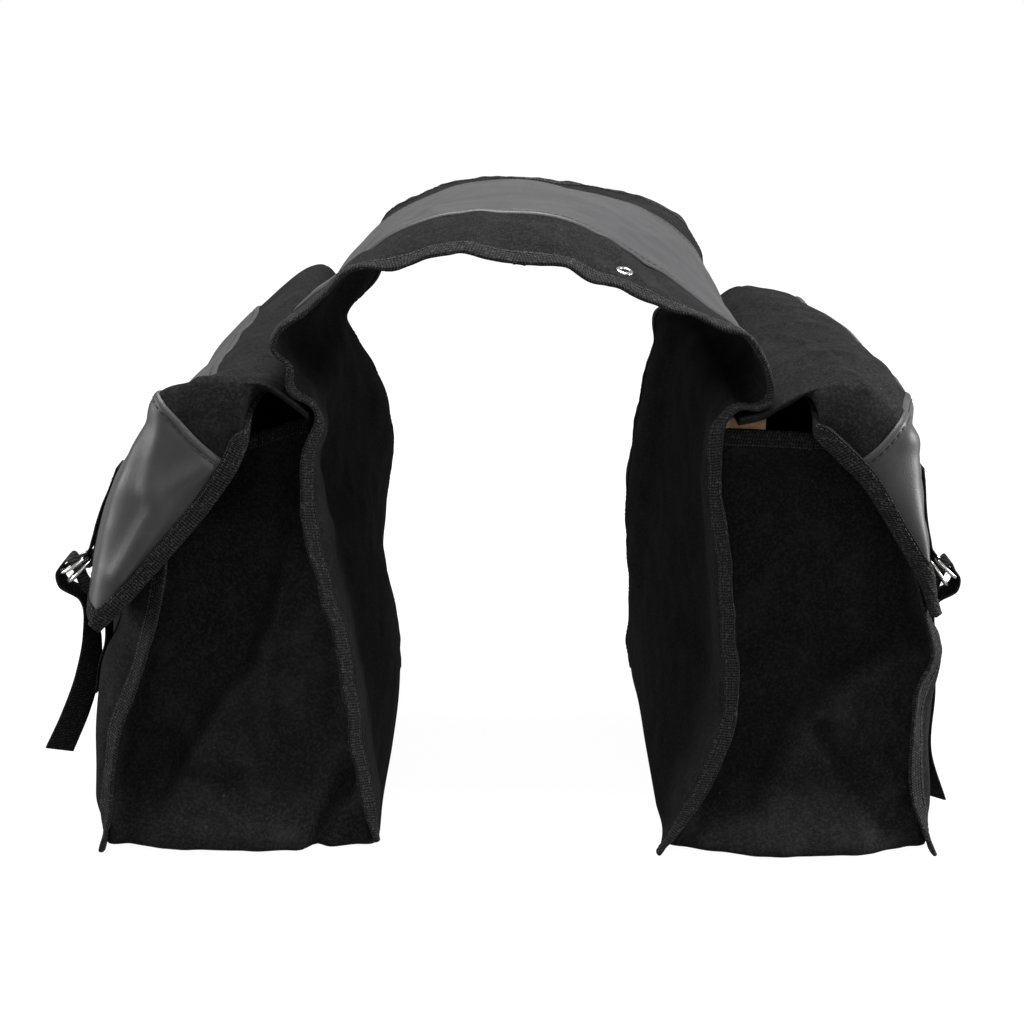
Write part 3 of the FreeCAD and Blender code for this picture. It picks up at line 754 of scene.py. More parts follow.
def row_at(grid, y):
    """The fractional row whose middle has this y."""
    return np.interp(y, grid[:, 3, 1], np.arange(grid.shape[0]))


def band_grid(grid):
    """The part of the saddle cloth that the leather band covers."""
    rows = np.r_[np.linspace(row_at(grid, -BAND), row_at(grid, -BAND + 9), 12)[:-1],
                 np.linspace(row_at(grid, -BAND + 9), row_at(grid, BAND - 9), 74),
                 np.linspace(row_at(grid, BAND - 9), row_at(grid, BAND), 12)[1:]]
    run = lengths(grid, 1).mean(0)
    last = np.interp(BAND_RUN, run, np.arange(len(run)))
    columns = np.r_[np.linspace(0, last - 4, 92), np.linspace(last - 4, last, 14)[1:]]
    return patch(grid, rows, columns)


def build_saddle(side):
    k = SIDES[side]
    # The cloth passes from the bridge to the bag over its shoulder.
    grid = saddle_grid(side)
    toward = (0.3 * k, 0, 1)
    cloth = shell(f"{side}_saddle_cloth", grid, toward, CANVAS)
    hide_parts("bridge_canvas", f"{side}_back_panel")
    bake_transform(cloth)
    strip = band_grid(grid)
    band_y = strip[..., 1]
    from_end = lengths(strip[:, ::-1], 1)[:, ::-1]
    distance = np.minimum(np.minimum(BAND + band_y, BAND - band_y), from_end)
    soft = 0.5 * ripple(strip, 60.0, 51) + 0.22 * ripple(strip, 24.0, 52)
    soft = folded(soft, strip, BAND_FOLDS[side])
    lift = edge_lift(distance) + soft * step_up(distance, 6, 26) * step_up(lengths(strip, 1), 0, 20) * 0.9
    lift = np.maximum(lift, 0.25)
    leather = shell(f"{side}_saddle_leather", strip, toward, LEATHER, thickness=1.0, lift=lift)
    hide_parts("bridge_leather")
    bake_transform(leather)
    normal = normals_of(strip, toward)
    sewn = []
    for label, face, up in (("front", strip, normal), ("rear", strip[::-1], normal[::-1])):
        line, turned = inset(face, up, np.array([5.2]))
        sewn.append(stitches(f"{side}_band_{label}_stitches", line[0] + turned[0] * 1.15, turned[0],
                             pitch=4.6, length=3.4, radius=0.4))
    seam = join(f"{side}_saddle_leather_stitches", sewn)
    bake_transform(seam)
    for label, face in (("front", grid), ("rear", grid[::-1])):
        tape, above, below = binding(f"{side}_saddle_{label}_tape", face, toward, 60)
        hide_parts(f"bridge_{label}_binding", f"{side}_back_seam_binding")
        rows = join(f"{side}_saddle_{label}_tape_stitches", [above, below])
        for piece in (tape, rows):
            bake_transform(piece)
    return grid


# ---------------------------------------------------------------- outer panels
OUTER_HEIGHTS = [262, 230, 194, 160, 129, 110, 80, 45, 20, 0.8]
OUTER = {
    "right": [
        (-170, [232, 236, 240, 249, 255.5, 250, 246, 248.5, 254.5, 263.5]),
        (-150, [233, 237, 241, 249, 255, 254, 252, 254.5, 257.5, 262]),
        (-85, [236, 241, 247, 254, 262, 267, 268, 267, 265, 261.5]),
        (0, [236, 241, 247, 254, 262, 268, 271, 271, 267, 262]),
        (85, [236, 241, 247, 254, 261, 267, 271, 271, 267, 262]),
        (150, [235, 239, 243, 247, 250, 252, 254, 255, 257, 262]),
        (170, [233, 238, 242, 245, 246, 246, 247, 250, 255, 262]),
    ],
    "left": [
        (-170, [215, 217, 217, 220.5, 231, 239, 249.5, 256, 261, 266]),
        (-150, [217, 221, 226, 234, 244, 251, 258, 262, 263, 265]),
        (-85, [224, 232, 241, 254, 267, 275, 280, 279, 273, 266]),
        (0, [224, 232, 241, 253, 264, 272, 279, 280, 274, 265]),
        (85, [224, 232, 240, 250, 261, 269, 276, 277, 271, 263]),
        (150, [224, 230, 236, 241, 246, 250, 253, 256, 259, 262]),
        (170, [222, 228, 234, 239, 243, 245, 248, 252, 257, 262]),
    ],
}


OUTER_FOLDS = [
    ([(250, -150, 150), (262, -60, 110), (266, 30, 120)], 12.0, -2.6),
    ([(256, -120, 40), (268, -40, 60), (268, 60, 40)], 12.0, 2.2),
    ([(262, 40, 12), (268, 80, 50), (262, 140, 90)], 10.0, -2.2),
]


def outer_grid(side):
    k = SIDES[side]
    rows = [(y, list(zip(xs, OUTER_HEIGHTS))) for y, xs in OUTER[side]]
    ys = np.unique(np.r_[np.linspace(-END, -END + 12, 8), np.linspace(-END + 12, END - 12, 96),
                         np.linspace(END - 12, END, 8)])
    flat, _ = loft(rows, None, 110, ys)
    grid = with_y(flat, ys)
    y, z = grid[..., 1], grid[..., 2]
    normal = normals_of(grid, (1, 0, 0))
    height = 1.2 * ripple(grid, 90.0, 71 + int(k)) + 0.5 * ripple(grid, 36.0, 81 + int(k))
    height = folded(height, grid, OUTER_FOLDS)
    anchored = step_up(np.minimum(END + y, END - y), 2, 30) * step_up(z, 1, 24)
    grid[..., 0] += flange(y, 8.0) * step_up(z, 4, 30)
    wavy = 1.2 * ripple(grid, 28.0, 91 + int(k)) * (1 - anchored) * step_up(z, 4, 40)
    grid = grid + normal * (height * (0.2 + 0.8 * anchored) * step_up(z, 1, 20) + wavy)[..., None]
    grid[..., 1] -= corner(y, z, side)
    # The lid lies over the panel's upper third, so the panel stays behind it there.
    lid, seam = lid_grid(side)
    for row in grid:
        limit = on_lid(lid, seam, row[0, 1], row[:, 2]) - 4.2
        row[:, 0] -= np.maximum(row[:, 0] - limit, 0) * step_up(row[:, 2], 142, 160)
    grid[..., 0] *= k
    return grid


def build_outer(side):
    k = SIDES[side]
    grid = outer_grid(side)
    cloth = shell(f"{side}_outer_cloth", grid, (k, 0, 0), CANVAS)
    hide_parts(f"{side}_outer_panel")
    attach(cloth, f"{side}_bag")
    normal = normals_of(grid, (k, 0, 0))
    rows = []
    for inset_by in (2.0, 9.0):
        turned_grid = grid.transpose(1, 0, 2)
        line, up = inset(turned_grid, normal.transpose(1, 0, 2), np.array([inset_by]))
        rows.append(stitches(f"{side}_outer_hem_{int(inset_by)}", line[0] + up[0] * 0.1, up[0]))
    for label, face in (("front", grid), ("rear", grid[::-1])):
        tape, above, below = binding(f"{side}_outer_{label}_tape", face, (k, 0, 0), 61)
        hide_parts(f"{side}_outer_seam_binding")
        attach(tape, f"{side}_bag")
        rows += [above, below]
    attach(join(f"{side}_outer_stitches", rows), f"{side}_bag")
    return grid


# ---------------------------------------------------------------- end walls and floor
WALL_TOP = 269.0
WALL_FRONT = -END + 9.0
MOUTH_SAG = {"left": 52.0, "right": 2.0}      # how far the front wall's top falls into the bag
FLOOR_BULGE = {"left": 18.0, "right": 26.0}   # how far a wall's foot stands out past its seams
FLOOR_UP = 0.6


def column_x(grid, row, heights):
    """|x| of a panel at these heights, along one of its rows."""
    line = patch(grid, [row], np.arange(grid.shape[1]))[0]
    keep = np.argmax(line[:, 2] < 289.5) if line[:, 2].max() > 300 else 0
    z = line[keep:, 2][::-1]
    x = np.abs(line[keep:, 0])[::-1]
    order = np.argsort(z)
    return np.interp(heights, z[order], x[order])


# The line along which each wall bends, as (x, z). The wall stands further back on its left-hand side.
WALL_BEND = {
    "right": [(96, -4), (115, 10), (150, 24), (168, 67), (194, 101), (229, 126), (252, 134)],
    "left": [(140, 262), (146, 205), (157, 150), (170, 117), (191, 93), (217, 50), (226, 28), (240, 2)],
}
WALL_FOLDS = {
    "right": [
        ([(100, 12), (126, 20), (153, 34)], 3.2, -3.4),
        ([(153, 34), (176, 62), (184, 84)], 7.0, -2.4),
        ([(190, 76), (212, 44), (232, 14)], 6.5, 6.5),
        ([(206, 84), (226, 60), (240, 36)], 7.0, -4.0),
        ([(150, 8), (190, 14), (222, 8)], 9.0, -3.0),
        ([(236, 150), (226, 178), (238, 214)], 9.0, 3.0),
        ([(178, 262), (206, 232), (236, 214)], 9.0, -3.0),
    ],
    "left": [
        ([(150, 168), (158, 112), (157, 66)], 6.0, -3.4),
        ([(166, 118), (170, 88), (166, 58)], 6.0, 3.0),
        ([(131, 2), (114, 30), (101, 50)], 5.0, 6.0),
        ([(140, 8), (124, 34), (112, 60)], 7.0, -3.0),
        ([(118, 88), (108, 112), (112, 136)], 7.0, 2.6),
        ([(160, 12), (196, 16), (226, 10)], 10.0, -3.0),
        ([(206, 60), (232, 96), (226, 140)], 8.0, -3.0),
    ],
}


def right_wall(x, z, across):
    """How far the right bag's front wall stands back from its seams."""
    flat = np.stack([x, z], -1)
    upper = step_up(beside(flat, WALL_BEND["right"]), -7, 7)
    back = 3.0 + 22.0 * upper * step_up(z, 0, 40)
    back += 12.0 * upper * bump(across, 0.42, 0.3) * step_up(z, 60, 150) * (1 - 0.55 * step_up(z, 215, 268))
    return folded(back, flat, WALL_FOLDS["right"])


def left_wall(x, z, across):
    """How far the left bag's front wall stands back from its seams."""
    flat = np.stack([x, z], -1)
    outer = step_up(beside(flat, WALL_BEND["left"]), -7, 7)
    back = 4.0 + 18.0 * outer * step_up(z, 4, 50) + 9.0 * step_up(z, 120, 210) * (1 - outer)
    back += 13.0 * bump(across, 0.55, 0.3) * step_up(z, 90, 170) * (1 - 0.5 * step_up(z, 215, 268))
    return folded(back, flat, WALL_FOLDS["left"])


def gusset_grid(side, saddle, outer):
    """One strip: down the front wall, along the floor and up the rear wall."""
    shapes = (right_wall, left_wall) if side == "right" else (left_wall, right_wall)
    heights = np.r_[np.linspace(WALL_TOP, WALL_TOP - 12, 7)[:-1], np.linspace(WALL_TOP - 12, 4.5, 84)]
    even = np.linspace(0, 1, 64)
    stations = 0.55 * (0.5 - 0.5 * np.cos(even * math.pi)) + 0.45 * even
    walls = []
    for shape, y_seam, sign, seed in ((shapes[0], WALL_FRONT, 1.0, 3), (shapes[1], -WALL_FRONT, -1.0, 5)):
        inner = column_x(saddle, row_at(saddle, y_seam), heights) + CLOTH
        reach = column_x(outer, row_at(outer, y_seam), heights) - CLOTH
        x = inner[:, None] + (reach - inner)[:, None] * stations[None, :]
        z = np.broadcast_to(heights[:, None], x.shape)
        across = np.broadcast_to(stations[None, :], x.shape)
        held = step_up(across, 0.0, 0.09) * step_up(1 - across, 0.0, 0.09)
        flat = np.stack([x, z], -1)
        back = shape(x, z, across) + 0.8 * ripple(flat, 42.0, seed) + 0.35 * ripple(flat, 16.0, seed + 1)
        top = step_up(z, 225, 268)
        sag = MOUTH_SAG[side] if sign > 0 else 0.0
        foot = 1 - step_up(z, -6, 44)
        back = back * (1 - 0.45 * top) + sag * step_up(z, 190, 272)
        back = back * held - FLOOR_BULGE[side] * foot * np.sqrt(np.sin(math.pi * across) + 1e-6)
        fallen = (2.4 + 0.25 * sag) * top * bump(across, 0.55, 0.35)
        walls.append(np.stack([x, y_seam + sign * back, z - fallen], -1))
    front, rear = walls
    near, far = front[-1], rear[-1]
    turn = np.linspace(0, math.pi / 2, 6)[1:]

    def turned(edge, toward_rear, angle):
        row = edge.copy()
        row[:, 1] += toward_rear * 3.5 * (1 - math.cos(angle))
        row[:, 2] = FLOOR_UP + (edge[:, 2] - FLOOR_UP) * (1 - math.sin(angle))
        return row[None]

    rows = [front] + [turned(near, 1.0, angle) for angle in turn]
    front_y, rear_y = rows[-1][0, :, 1] + 2, far[:, 1] - 5.5
    for t in np.linspace(0.02, 0.98, 78):
        y = front_y + (rear_y - front_y) * t
        rows.append(np.stack([near[:, 0] * (1 - t) + far[:, 0] * t, y, np.full_like(y, FLOOR_UP)], -1)[None])
    rows += [turned(far, -1.0, angle) for angle in turn[::-1]] + [rear[::-1]]
    grid = np.concatenate(rows)
    grid[..., 0] *= SIDES[side]
    return grid


def build_gusset(side, saddle, outer):
    grid = gusset_grid(side, saddle, outer)
    middle = grid.shape[0] // 2
    cloth = shell(f"{side}_gusset_cloth", grid, (0, 0, -1), CANVAS, thickness=1.0)
    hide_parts(f"{side}_gusset")
    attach(cloth, f"{side}_bag")
    rows = []
    for (label, sign), face in zip(ENDS.items(), (grid[:middle], grid[::-1][:middle])):
        tape, above, below = binding(f"{side}_mouth_{label}_tape", face[:, 1:-1], (0, sign, 0), 62)
        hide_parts(f"{side}_mouth_binding")
        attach(tape, f"{side}_bag")
        rows += [above, below]
    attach(join(f"{side}_mouth_stitches", rows), f"{side}_bag")
    return grid


# ---------------------------------------------------------------- lids
# Each profile runs from the hinge, over the top, past the seam and down the flap to its hem. The first and
# last profiles are the bound edges of the end skirts, and their neighbours are the creases where the skirts
# fold down. SEAM is the point at which the canvas meets the leather.
SEAM = 6
LID = {
    "right": [
        (-175, [(131, 280), (146, 282), (156, 282.5), (165, 279), (174, 272.5), (184, 263.5), (196, 252),
                (206, 241.5), (219, 222), (232.5, 199.5), (244, 179.5), (252, 160)]),
        (-177, [(131, 280.5), (147, 283.5), (157, 287), (169, 288), (182, 285), (197, 278), (213, 266.5),
                (225, 248), (236, 224.5), (244.5, 201.5), (250.5, 178), (254, 160)]),
        (-171, [(131, 281), (147, 285), (158, 291), (172, 298), (190, 302), (206.5, 296.5), (225, 280),
                (235, 264), (241.5, 238), (246.5, 210), (250, 182), (252.5, 161)]),
        (-150, [(131, 281), (148, 286), (160, 295), (177, 302), (196, 304.5), (212.5, 298),
                (230.5, 282.5), (238.5, 265), (245, 239), (250, 211), (254, 184), (256, 162)]),
        (-100, [(131, 281), (149, 287), (161, 297), (179, 303), (202, 305), (224, 300), (240, 285),
                (244, 266), (250, 240), (254.5, 212), (258.5, 186), (260.5, 164)]),
        (0, [(131, 281), (149, 288), (161, 298.5), (179, 304), (200, 305), (222, 300), (237, 286.5),
             (243, 268), (251, 240), (257, 212), (262, 186), (264, 165)]),
        (60, [(131, 281), (149, 288.5), (161, 299), (178, 305), (198, 306), (220, 301), (236, 288.5),
              (246, 269), (255, 240), (261, 213), (265, 187), (267, 165)]),
        (140, [(131, 282), (149, 290), (160, 301), (173, 307), (187, 306), (201, 303.5), (215, 297),
               (238, 274), (253, 242), (261, 213), (266, 186), (268.5, 164)]),
        (171, [(131, 282), (147, 289), (157, 299.5), (170, 306), (183, 304.5), (196, 301.5), (208, 296),
               (230, 273), (245, 242), (254, 212), (259, 184), (261, 160)]),
        (177, [(131, 281), (146, 285), (156, 290), (167, 293), (178, 291), (189, 286), (200, 278),
               (220, 255), (236, 227), (247, 203), (254, 178), (258, 158)]),
        (175, [(131, 280), (145, 282), (155, 282), (163, 279), (171, 273), (181, 265), (190, 256),
               (208, 238), (226, 214), (239, 194), (248, 173), (255, 156.5)]),
    ],
    "left": [
        (-175, [(126, 283), (137, 286), (147, 284), (154, 279.5), (159, 272.5), (164, 262.5),
                (169.5, 251), (187, 226.5), (207, 203), (227, 180.5), (243, 163), (257, 150.5)]),
        (-177.5, [(126, 283.5), (138, 290), (150, 292.5), (162, 290.5), (172, 286), (182.5, 280.5),
                  (192, 272), (206, 252), (222.5, 226), (237.5, 200), (250, 174), (260, 153)]),
        (-171, [(126, 284), (138, 294), (151, 301.5), (167, 303.5), (184, 304), (201, 299.5),
                (212, 294.5), (223, 276), (236, 250), (247.5, 219), (256.5, 186), (263, 157)]),
        (-150, [(126, 284), (138, 294), (151, 301), (166, 302), (181, 302.5), (195, 298.5), (207, 292.5),
                (220, 277), (238.5, 251), (253.5, 220), (262.5, 188), (265.5, 160)]),
        (-100, [(126, 284), (138, 292.5), (150, 299.5), (161, 302), (170.5, 301), (186, 296.5),
                (199, 287.5), (214, 275), (235.5, 254), (254.5, 223), (267.5, 191), (271, 164)]),
        (0, [(127, 284), (141, 291), (149, 300), (158, 304.5), (166.5, 304), (184, 298.5), (198, 289),
             (213, 276), (234.5, 256), (254.5, 225), (267.5, 192), (271.5, 165)]),
        (60, [(127, 284), (140, 295), (146, 303.5), (154, 307.5), (162.5, 306.5), (181, 300), (195, 290),
              (211, 276), (230, 257), (250, 226), (263, 192), (270, 165)]),
        (140, [(129, 284), (134.5, 301), (139.5, 315.5), (147, 322.5), (158, 321), (177, 307), (194, 291),
               (211, 274), (230, 254), (248, 223), (259, 190), (266, 163)]),
        (171, [(132, 284), (135, 299), (139, 313.5), (147, 321.5), (158, 320), (178, 306), (194, 291),
               (211, 275), (230, 253), (246, 221), (255, 187), (261, 160)]),
        (177, [(132, 283), (135.5, 293), (141, 301), (150, 305), (160, 303), (170, 295), (180, 284),
               (200, 262), (221, 236), (239, 207), (251, 180), (258, 157)]),
        (175, [(132, 282), (136, 286), (143, 288), (151, 286), (159, 281), (167, 273), (175, 262),
               (193, 241), (212, 215), (231, 190), (246, 170), (255, 155)]),
    ],
}


LID_FOLDS = {
    "right": [
        ([(150, -104, 303), (184, -82, 303), (192, -96, 303), (206, -168, 300)], 5.0, 2.6),
        ([(158, 14, 303), (200, -76, 303), (212, -100, 303)], 4.0, 2.2),
        ([(150, -140, 296), (182, -120, 303), (204, -140, 303)], 4.5, -2.6),
        ([(156, -165, 291), (185, -140, 304), (215, -130, 300), (232, -160, 283)], 5.0, 2.6),
        ([(152, -120, 292), (185, -100, 304), (222, -95, 297), (244, -130, 276)], 5.5, 2.4),
        ([(154, -60, 295), (186, -55, 305), (226, -40, 298)], 7.0, -2.0),
        ([(160, 20, 299), (196, 10, 306), (236, -30, 288)], 6.5, 2.2),
        ([(160, 100, 302), (196, 60, 307), (234, 20, 291)], 8.0, -1.8),
        ([(200, -165, 300), (205, -120, 304), (196, -70, 305)], 6.0, -1.8),
        ([(232, -172, 270), (244, -150, 262), (254, -120, 240)], 7.0, 2.4),
        ([(250, -165, 220), (262, -120, 222), (268, -60, 214)], 9.0, -2.4),
    ],
    "left": [
        ([(140, -150, 297), (165, -165, 305), (190, -165, 305)], 5.0, 2.0),
        ([(142, -120, 298), (165, -130, 304), (196, -160, 303)], 5.0, -2.0),
        ([(146, -70, 300), (168, -90, 304), (188, -100, 301)], 6.0, 2.0),
        ([(150, 10, 304), (170, -10, 310), (188, -40, 304)], 6.0, -1.8),
        ([(186, -177, 254), (212, -178, 238), (224, -178, 216), (242, -176, 186)], 5.5, 3.4),
        ([(210, -172, 286), (216, -177, 262), (222, -178, 238)], 5.5, 3.0),
        ([(224, -168, 276), (243, -160, 236), (256, -150, 196)], 8.0, -2.4),
        ([(216, -120, 286), (240, -100, 256), (262, -60, 205)], 10.0, 2.4),
    ],
}
# The end skirts are turned under near the hinge, fading out between these distances from the middle.
TURNED_UNDER = {"left": (146.0, 166.0), "right": (158.0, 180.0)}
# Where each profile of the lid lies along its length, from the front skirt's edge round to the rear's.
LID_PLACES = np.array([0.0, 19.0, 36.0, 58.0, 108.0, 208.0, 268.0, 348.0, 378.0, 395.0, 414.0])
SKIRT_REACH = 178.5


def lid_grid(side):
    """The lid with its creases: rows from the front skirt's edge to the rear's, columns from hinge to hem."""
    k = SIDES[side]
    rows = LID[side]
    at = np.unique(np.r_[np.linspace(0, 14, 9), np.linspace(14, 34, 9), np.linspace(34, 40, 6),
                         np.linspace(40, 374, 118), np.linspace(374, 382, 6), np.linspace(382, 400, 8),
                         np.linspace(400, 414, 9)])
    flat, knots = loft(rows, LID_PLACES, 170, at)
    ys = through(LID_PLACES, np.array([row[0] for row in rows], float)[:, None], at)[:, 0]
    ys = np.clip(ys, -SKIRT_REACH, SKIRT_REACH)
    grid = with_y(flat, ys)
    under = 1 - step_up(grid[..., 0], *TURNED_UNDER[side])
    front_fold, rear_fold = LID_PLACES[2], LID_PLACES[-3]
    for fold, skirt, inwards in ((front_fold, at < front_fold, 1.0), (rear_fold, at > rear_fold, -1.0)):
        mirrored = np.interp(2 * fold - at[skirt] + inwards * 6.0, at, np.arange(len(at)))
        tucked = patch(grid, mirrored, np.arange(grid.shape[1])) - np.array([0, 0, 5.0])
        grid[skirt] = grid[skirt] * (1 - under[skirt][..., None]) + tucked * under[skirt][..., None]
    seam_column = knots[SEAM] / knots[-1] * (grid.shape[1] - 1)
    normal = normals_of(grid, (1, 0, 1))
    height = 0.9 * ripple(grid, 80.0, 101 + int(k)) + 0.35 * ripple(grid, 30.0, 103 + int(k))
    height = folded(height, grid, LID_FOLDS[side])
    hinge = step_up(lengths(grid, 1), 10, 40)
    rim = step_up(np.minimum(at, at[-1] - at), 0, 14)[:, None]
    grid = grid + normal * (height * hinge * (0.15 + 0.85 * rim))[..., None]
    grid[..., 0] *= k
    return grid, seam_column


def build_lid(side):
    k = SIDES[side]
    bag, lid = f"{side}_bag", f"{side}_lid"
    # The canvas passes from the bag to the lid along its first run, where the hinge is.
    toward = (k, 0, 1)
    grid, seam = lid_grid(side)
    rows = np.arange(grid.shape[0])
    top = patch(grid, rows, np.linspace(0, seam + 5, int(seam) + 6))
    cloth = shell(f"{side}_lid_cloth", top, toward, CANVAS)
    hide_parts(f"{side}_lid_canvas")
    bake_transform(cloth)
    columns = np.r_[np.linspace(seam, seam + 4, 14)[:-1], np.linspace(seam + 4, grid.shape[1] - 1, 84)]
    flap = patch(grid, rows, columns)
    fall = lengths(flap, 1)
    lift = edge_lift(fall)
    leather = shell(f"{side}_lid_flap", flap, toward, LEATHER, thickness=1.1, lift=lift)
    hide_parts(f"{side}_lid_leather")
    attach(leather, lid)
    normal = normals_of(flap, toward)
    sewn = []
    turned_grid, turned_up = flap.transpose(1, 0, 2), normal.transpose(1, 0, 2)
    line, up = inset(turned_grid, turned_up, np.array([5.0]))
    sewn.append(stitches(f"{side}_seam_row", line[0] + up[0] * 1.25, up[0],
                         pitch=5.2, length=3.9, radius=0.45))
    for label, face in (("front", grid), ("rear", grid[::-1])):
        lifted = face + normals_of(face, toward) * 0.8
        tape, above, below = binding(f"{side}_lid_{label}_tape", lifted, toward, 63, half=1.5)
        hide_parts(f"{side}_lid_binding")
        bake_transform(tape)
        rows_of = join(f"{side}_lid_{label}_tape_stitches", [above, below])
        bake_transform(rows_of)
    hem_face = grid.transpose(1, 0, 2)[::-1]
    hem_face = hem_face + normals_of(hem_face, toward) * 0.9
    tape, above, below = binding(f"{side}_lid_hem_tape", hem_face, toward, 64, half=1.5)
    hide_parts(f"{side}_lid_binding")
    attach(tape, lid)
    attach(join(f"{side}_lid_stitches", sewn + [above, below]), lid)
    return grid, seam


# ---------------------------------------------------------------- closures
STRAP_ALONG = 100.0
CHAPE_OFF = 2.4      # from the flap's surface to the middle of the chape's inner layer
CHAPE_HEIGHTS = np.array([234, 222, 210, 198, 187, 179])
BOX_CORNERS = [(228, -8), (228, 8), (208, 8), (208, -8), (228, -8), (208, 8), (208, -8), (228, 8)]
RING_RADIUS = 12.8
RING_WIRE = 1.3
RING_SLOPE = {"left": 38, "right": 50}     # degrees below level
# Below the rings each strap's loose tail passes these points, with the direction across it at each.
TAILS = {
    ("left", "front"): [
        ((283, -100, 148), (0, 1, 0)), ((279, -101, 124), (0.3, 1, 0)), ((282, -104, 97), (0.7, 1, 0)),
        ((291, -107, 70), (1, 1, 0)), ((303, -110, 44), (1.2, 1, 0))],
    ("left", "rear"): [
        ((281, 100, 148), (0, 1, 0)), ((282, 100, 124), (-0.1, 1, 0)), ((289, 99, 96), (-0.3, 1, 0)),
        ((292, 98, 70), (-0.35, 1, 0)), ((290, 97, 44), (-0.2, 1, 0))],
    ("right", "front"): [
        ((270, -100, 146), (0, 1, 0)), ((269, -101, 120), (0.05, 1, 0)), ((270, -103, 86), (0.1, 1, 0)),
        ((269, -106, 44), (0.15, 1, 0)), ((277, -110, 10), (0.5, 1, 0))],
    ("right", "rear"): [
        ((279, 100, 146), (0, 1, 0)), ((279, 101, 118), (0.1, 1, 0)), ((282, 103, 88), (0.3, 1, 0)),
        ((283, 106, 60), (0.4, 1, 0)), ((286, 110, 36), (0.3, 1, 0))],
}


def on_lid(grid, seam, y, heights):
    """|x| of the lid's flap at these heights, along y."""
    row = row_at_flap(grid, y)
    line = patch(grid, [row], np.arange(int(seam), grid.shape[1]))[0]
    z = line[::-1, 2]
    return np.interp(heights, z, np.abs(line[::-1, 0]))


def row_at_flap(grid, y):
    """The fractional row of the lid's flap at this y, away from its turned skirts."""
    middle = grid[30:-30, grid.shape[1] // 2, 1]
    return 30 + np.interp(y, middle, np.arange(len(middle)))


def placed(side, points):
    return [(SIDES[side] * x, y, z) for x, y, z in points]


def build_chape(side, end, y, lid, seam):
    """Webbing folded round the rings and sewn to the flap with a crossed box. Returns |x| of its foot."""
    k = SIDES[side]
    on = on_lid(lid, seam, y, CHAPE_HEIGHTS)
    tip = on[-1]
    inner = [(x + CHAPE_OFF, y, z) for x, z in zip(on, CHAPE_HEIGHTS)]
    loop = [(tip + 3.4, y, 173.5), (tip + 5.4, y, 170.2), (tip + 8.0, y, 170.4), (tip + 9.2, y, 173.6),
            (tip + 8.2, y, 177.6)]
    outer_layer = [(x + CHAPE_OFF + extra, y, z + 1.5) for x, z, extra in
                   zip(on[::-1], CHAPE_HEIGHTS[::-1], [3.4, 2.3, 1.9, 1.8, 1.75, 1.7])]
    path = placed(side, inner + loop + outer_layer)
    facing = [(k, 0, 0)] * len(inner) + [(k, 0, -1)] * 2 + [(-k, 0, -1)] * 3 + [(-k, 0, 0)] * len(outer_layer)
    chape = ribbon(f"{side}_{end}_chape_web", path, [(0, 1, 0)] * len(path), facing)
    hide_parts(f"{side}_{end}_chape")
    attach(chape, f"{side}_lid")
    rows = []
    for number, (a, b) in enumerate(zip(BOX_CORNERS[:-1], BOX_CORNERS[1:])):
        t = np.linspace(0, 1, 12)[:, None]
        flat = np.array([a[0], a[1]]) * (1 - t) + np.array([b[0], b[1]]) * t
        x = on_lid(lid, seam, y, flat[:, 0]) + CHAPE_OFF + 1.75 + WEB_THICK / 2 + 0.05
        line = np.stack([k * x, y + flat[:, 1], flat[:, 0] + 1.5], -1)
        rows.append(stitches(f"{side}_{end}_box_{number}", line, np.array([[k, 0, 0.35]] * 12, float),
                             pitch=2.9, length=2.2, radius=0.32))
    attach(join(f"{side}_{end}_chape_stitches", rows), f"{side}_lid")
    return tip


def build_rings(side, end, hang, along, out_of):
    """Two wire rings hanging side by side in the chape's loop."""
    k = SIDES[side]
    made = []
    for number, (shift, spread) in enumerate(((-1.6, -0.1), (1.6, 0.12))):
        turn = along + out_of * spread
        turn = turn / np.linalg.norm(turn)
        facing = np.array([-turn[2], 0, turn[0]])
        centre = hang + turn * (RING_RADIUS - 2.4) + facing * shift
        made.append(torus(f"{side}_{end}_ring_{number}", centre * np.array([k, 1, 1]),
                          facing * np.array([k, 1, 1]), RING_RADIUS, RING_WIRE, METAL))
    rings = join(f"{side}_{end}_ring_pair_metal", made)
    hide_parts(f"{side}_{end}_rings")
    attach(rings, f"{side}_{end}_ring_pair")


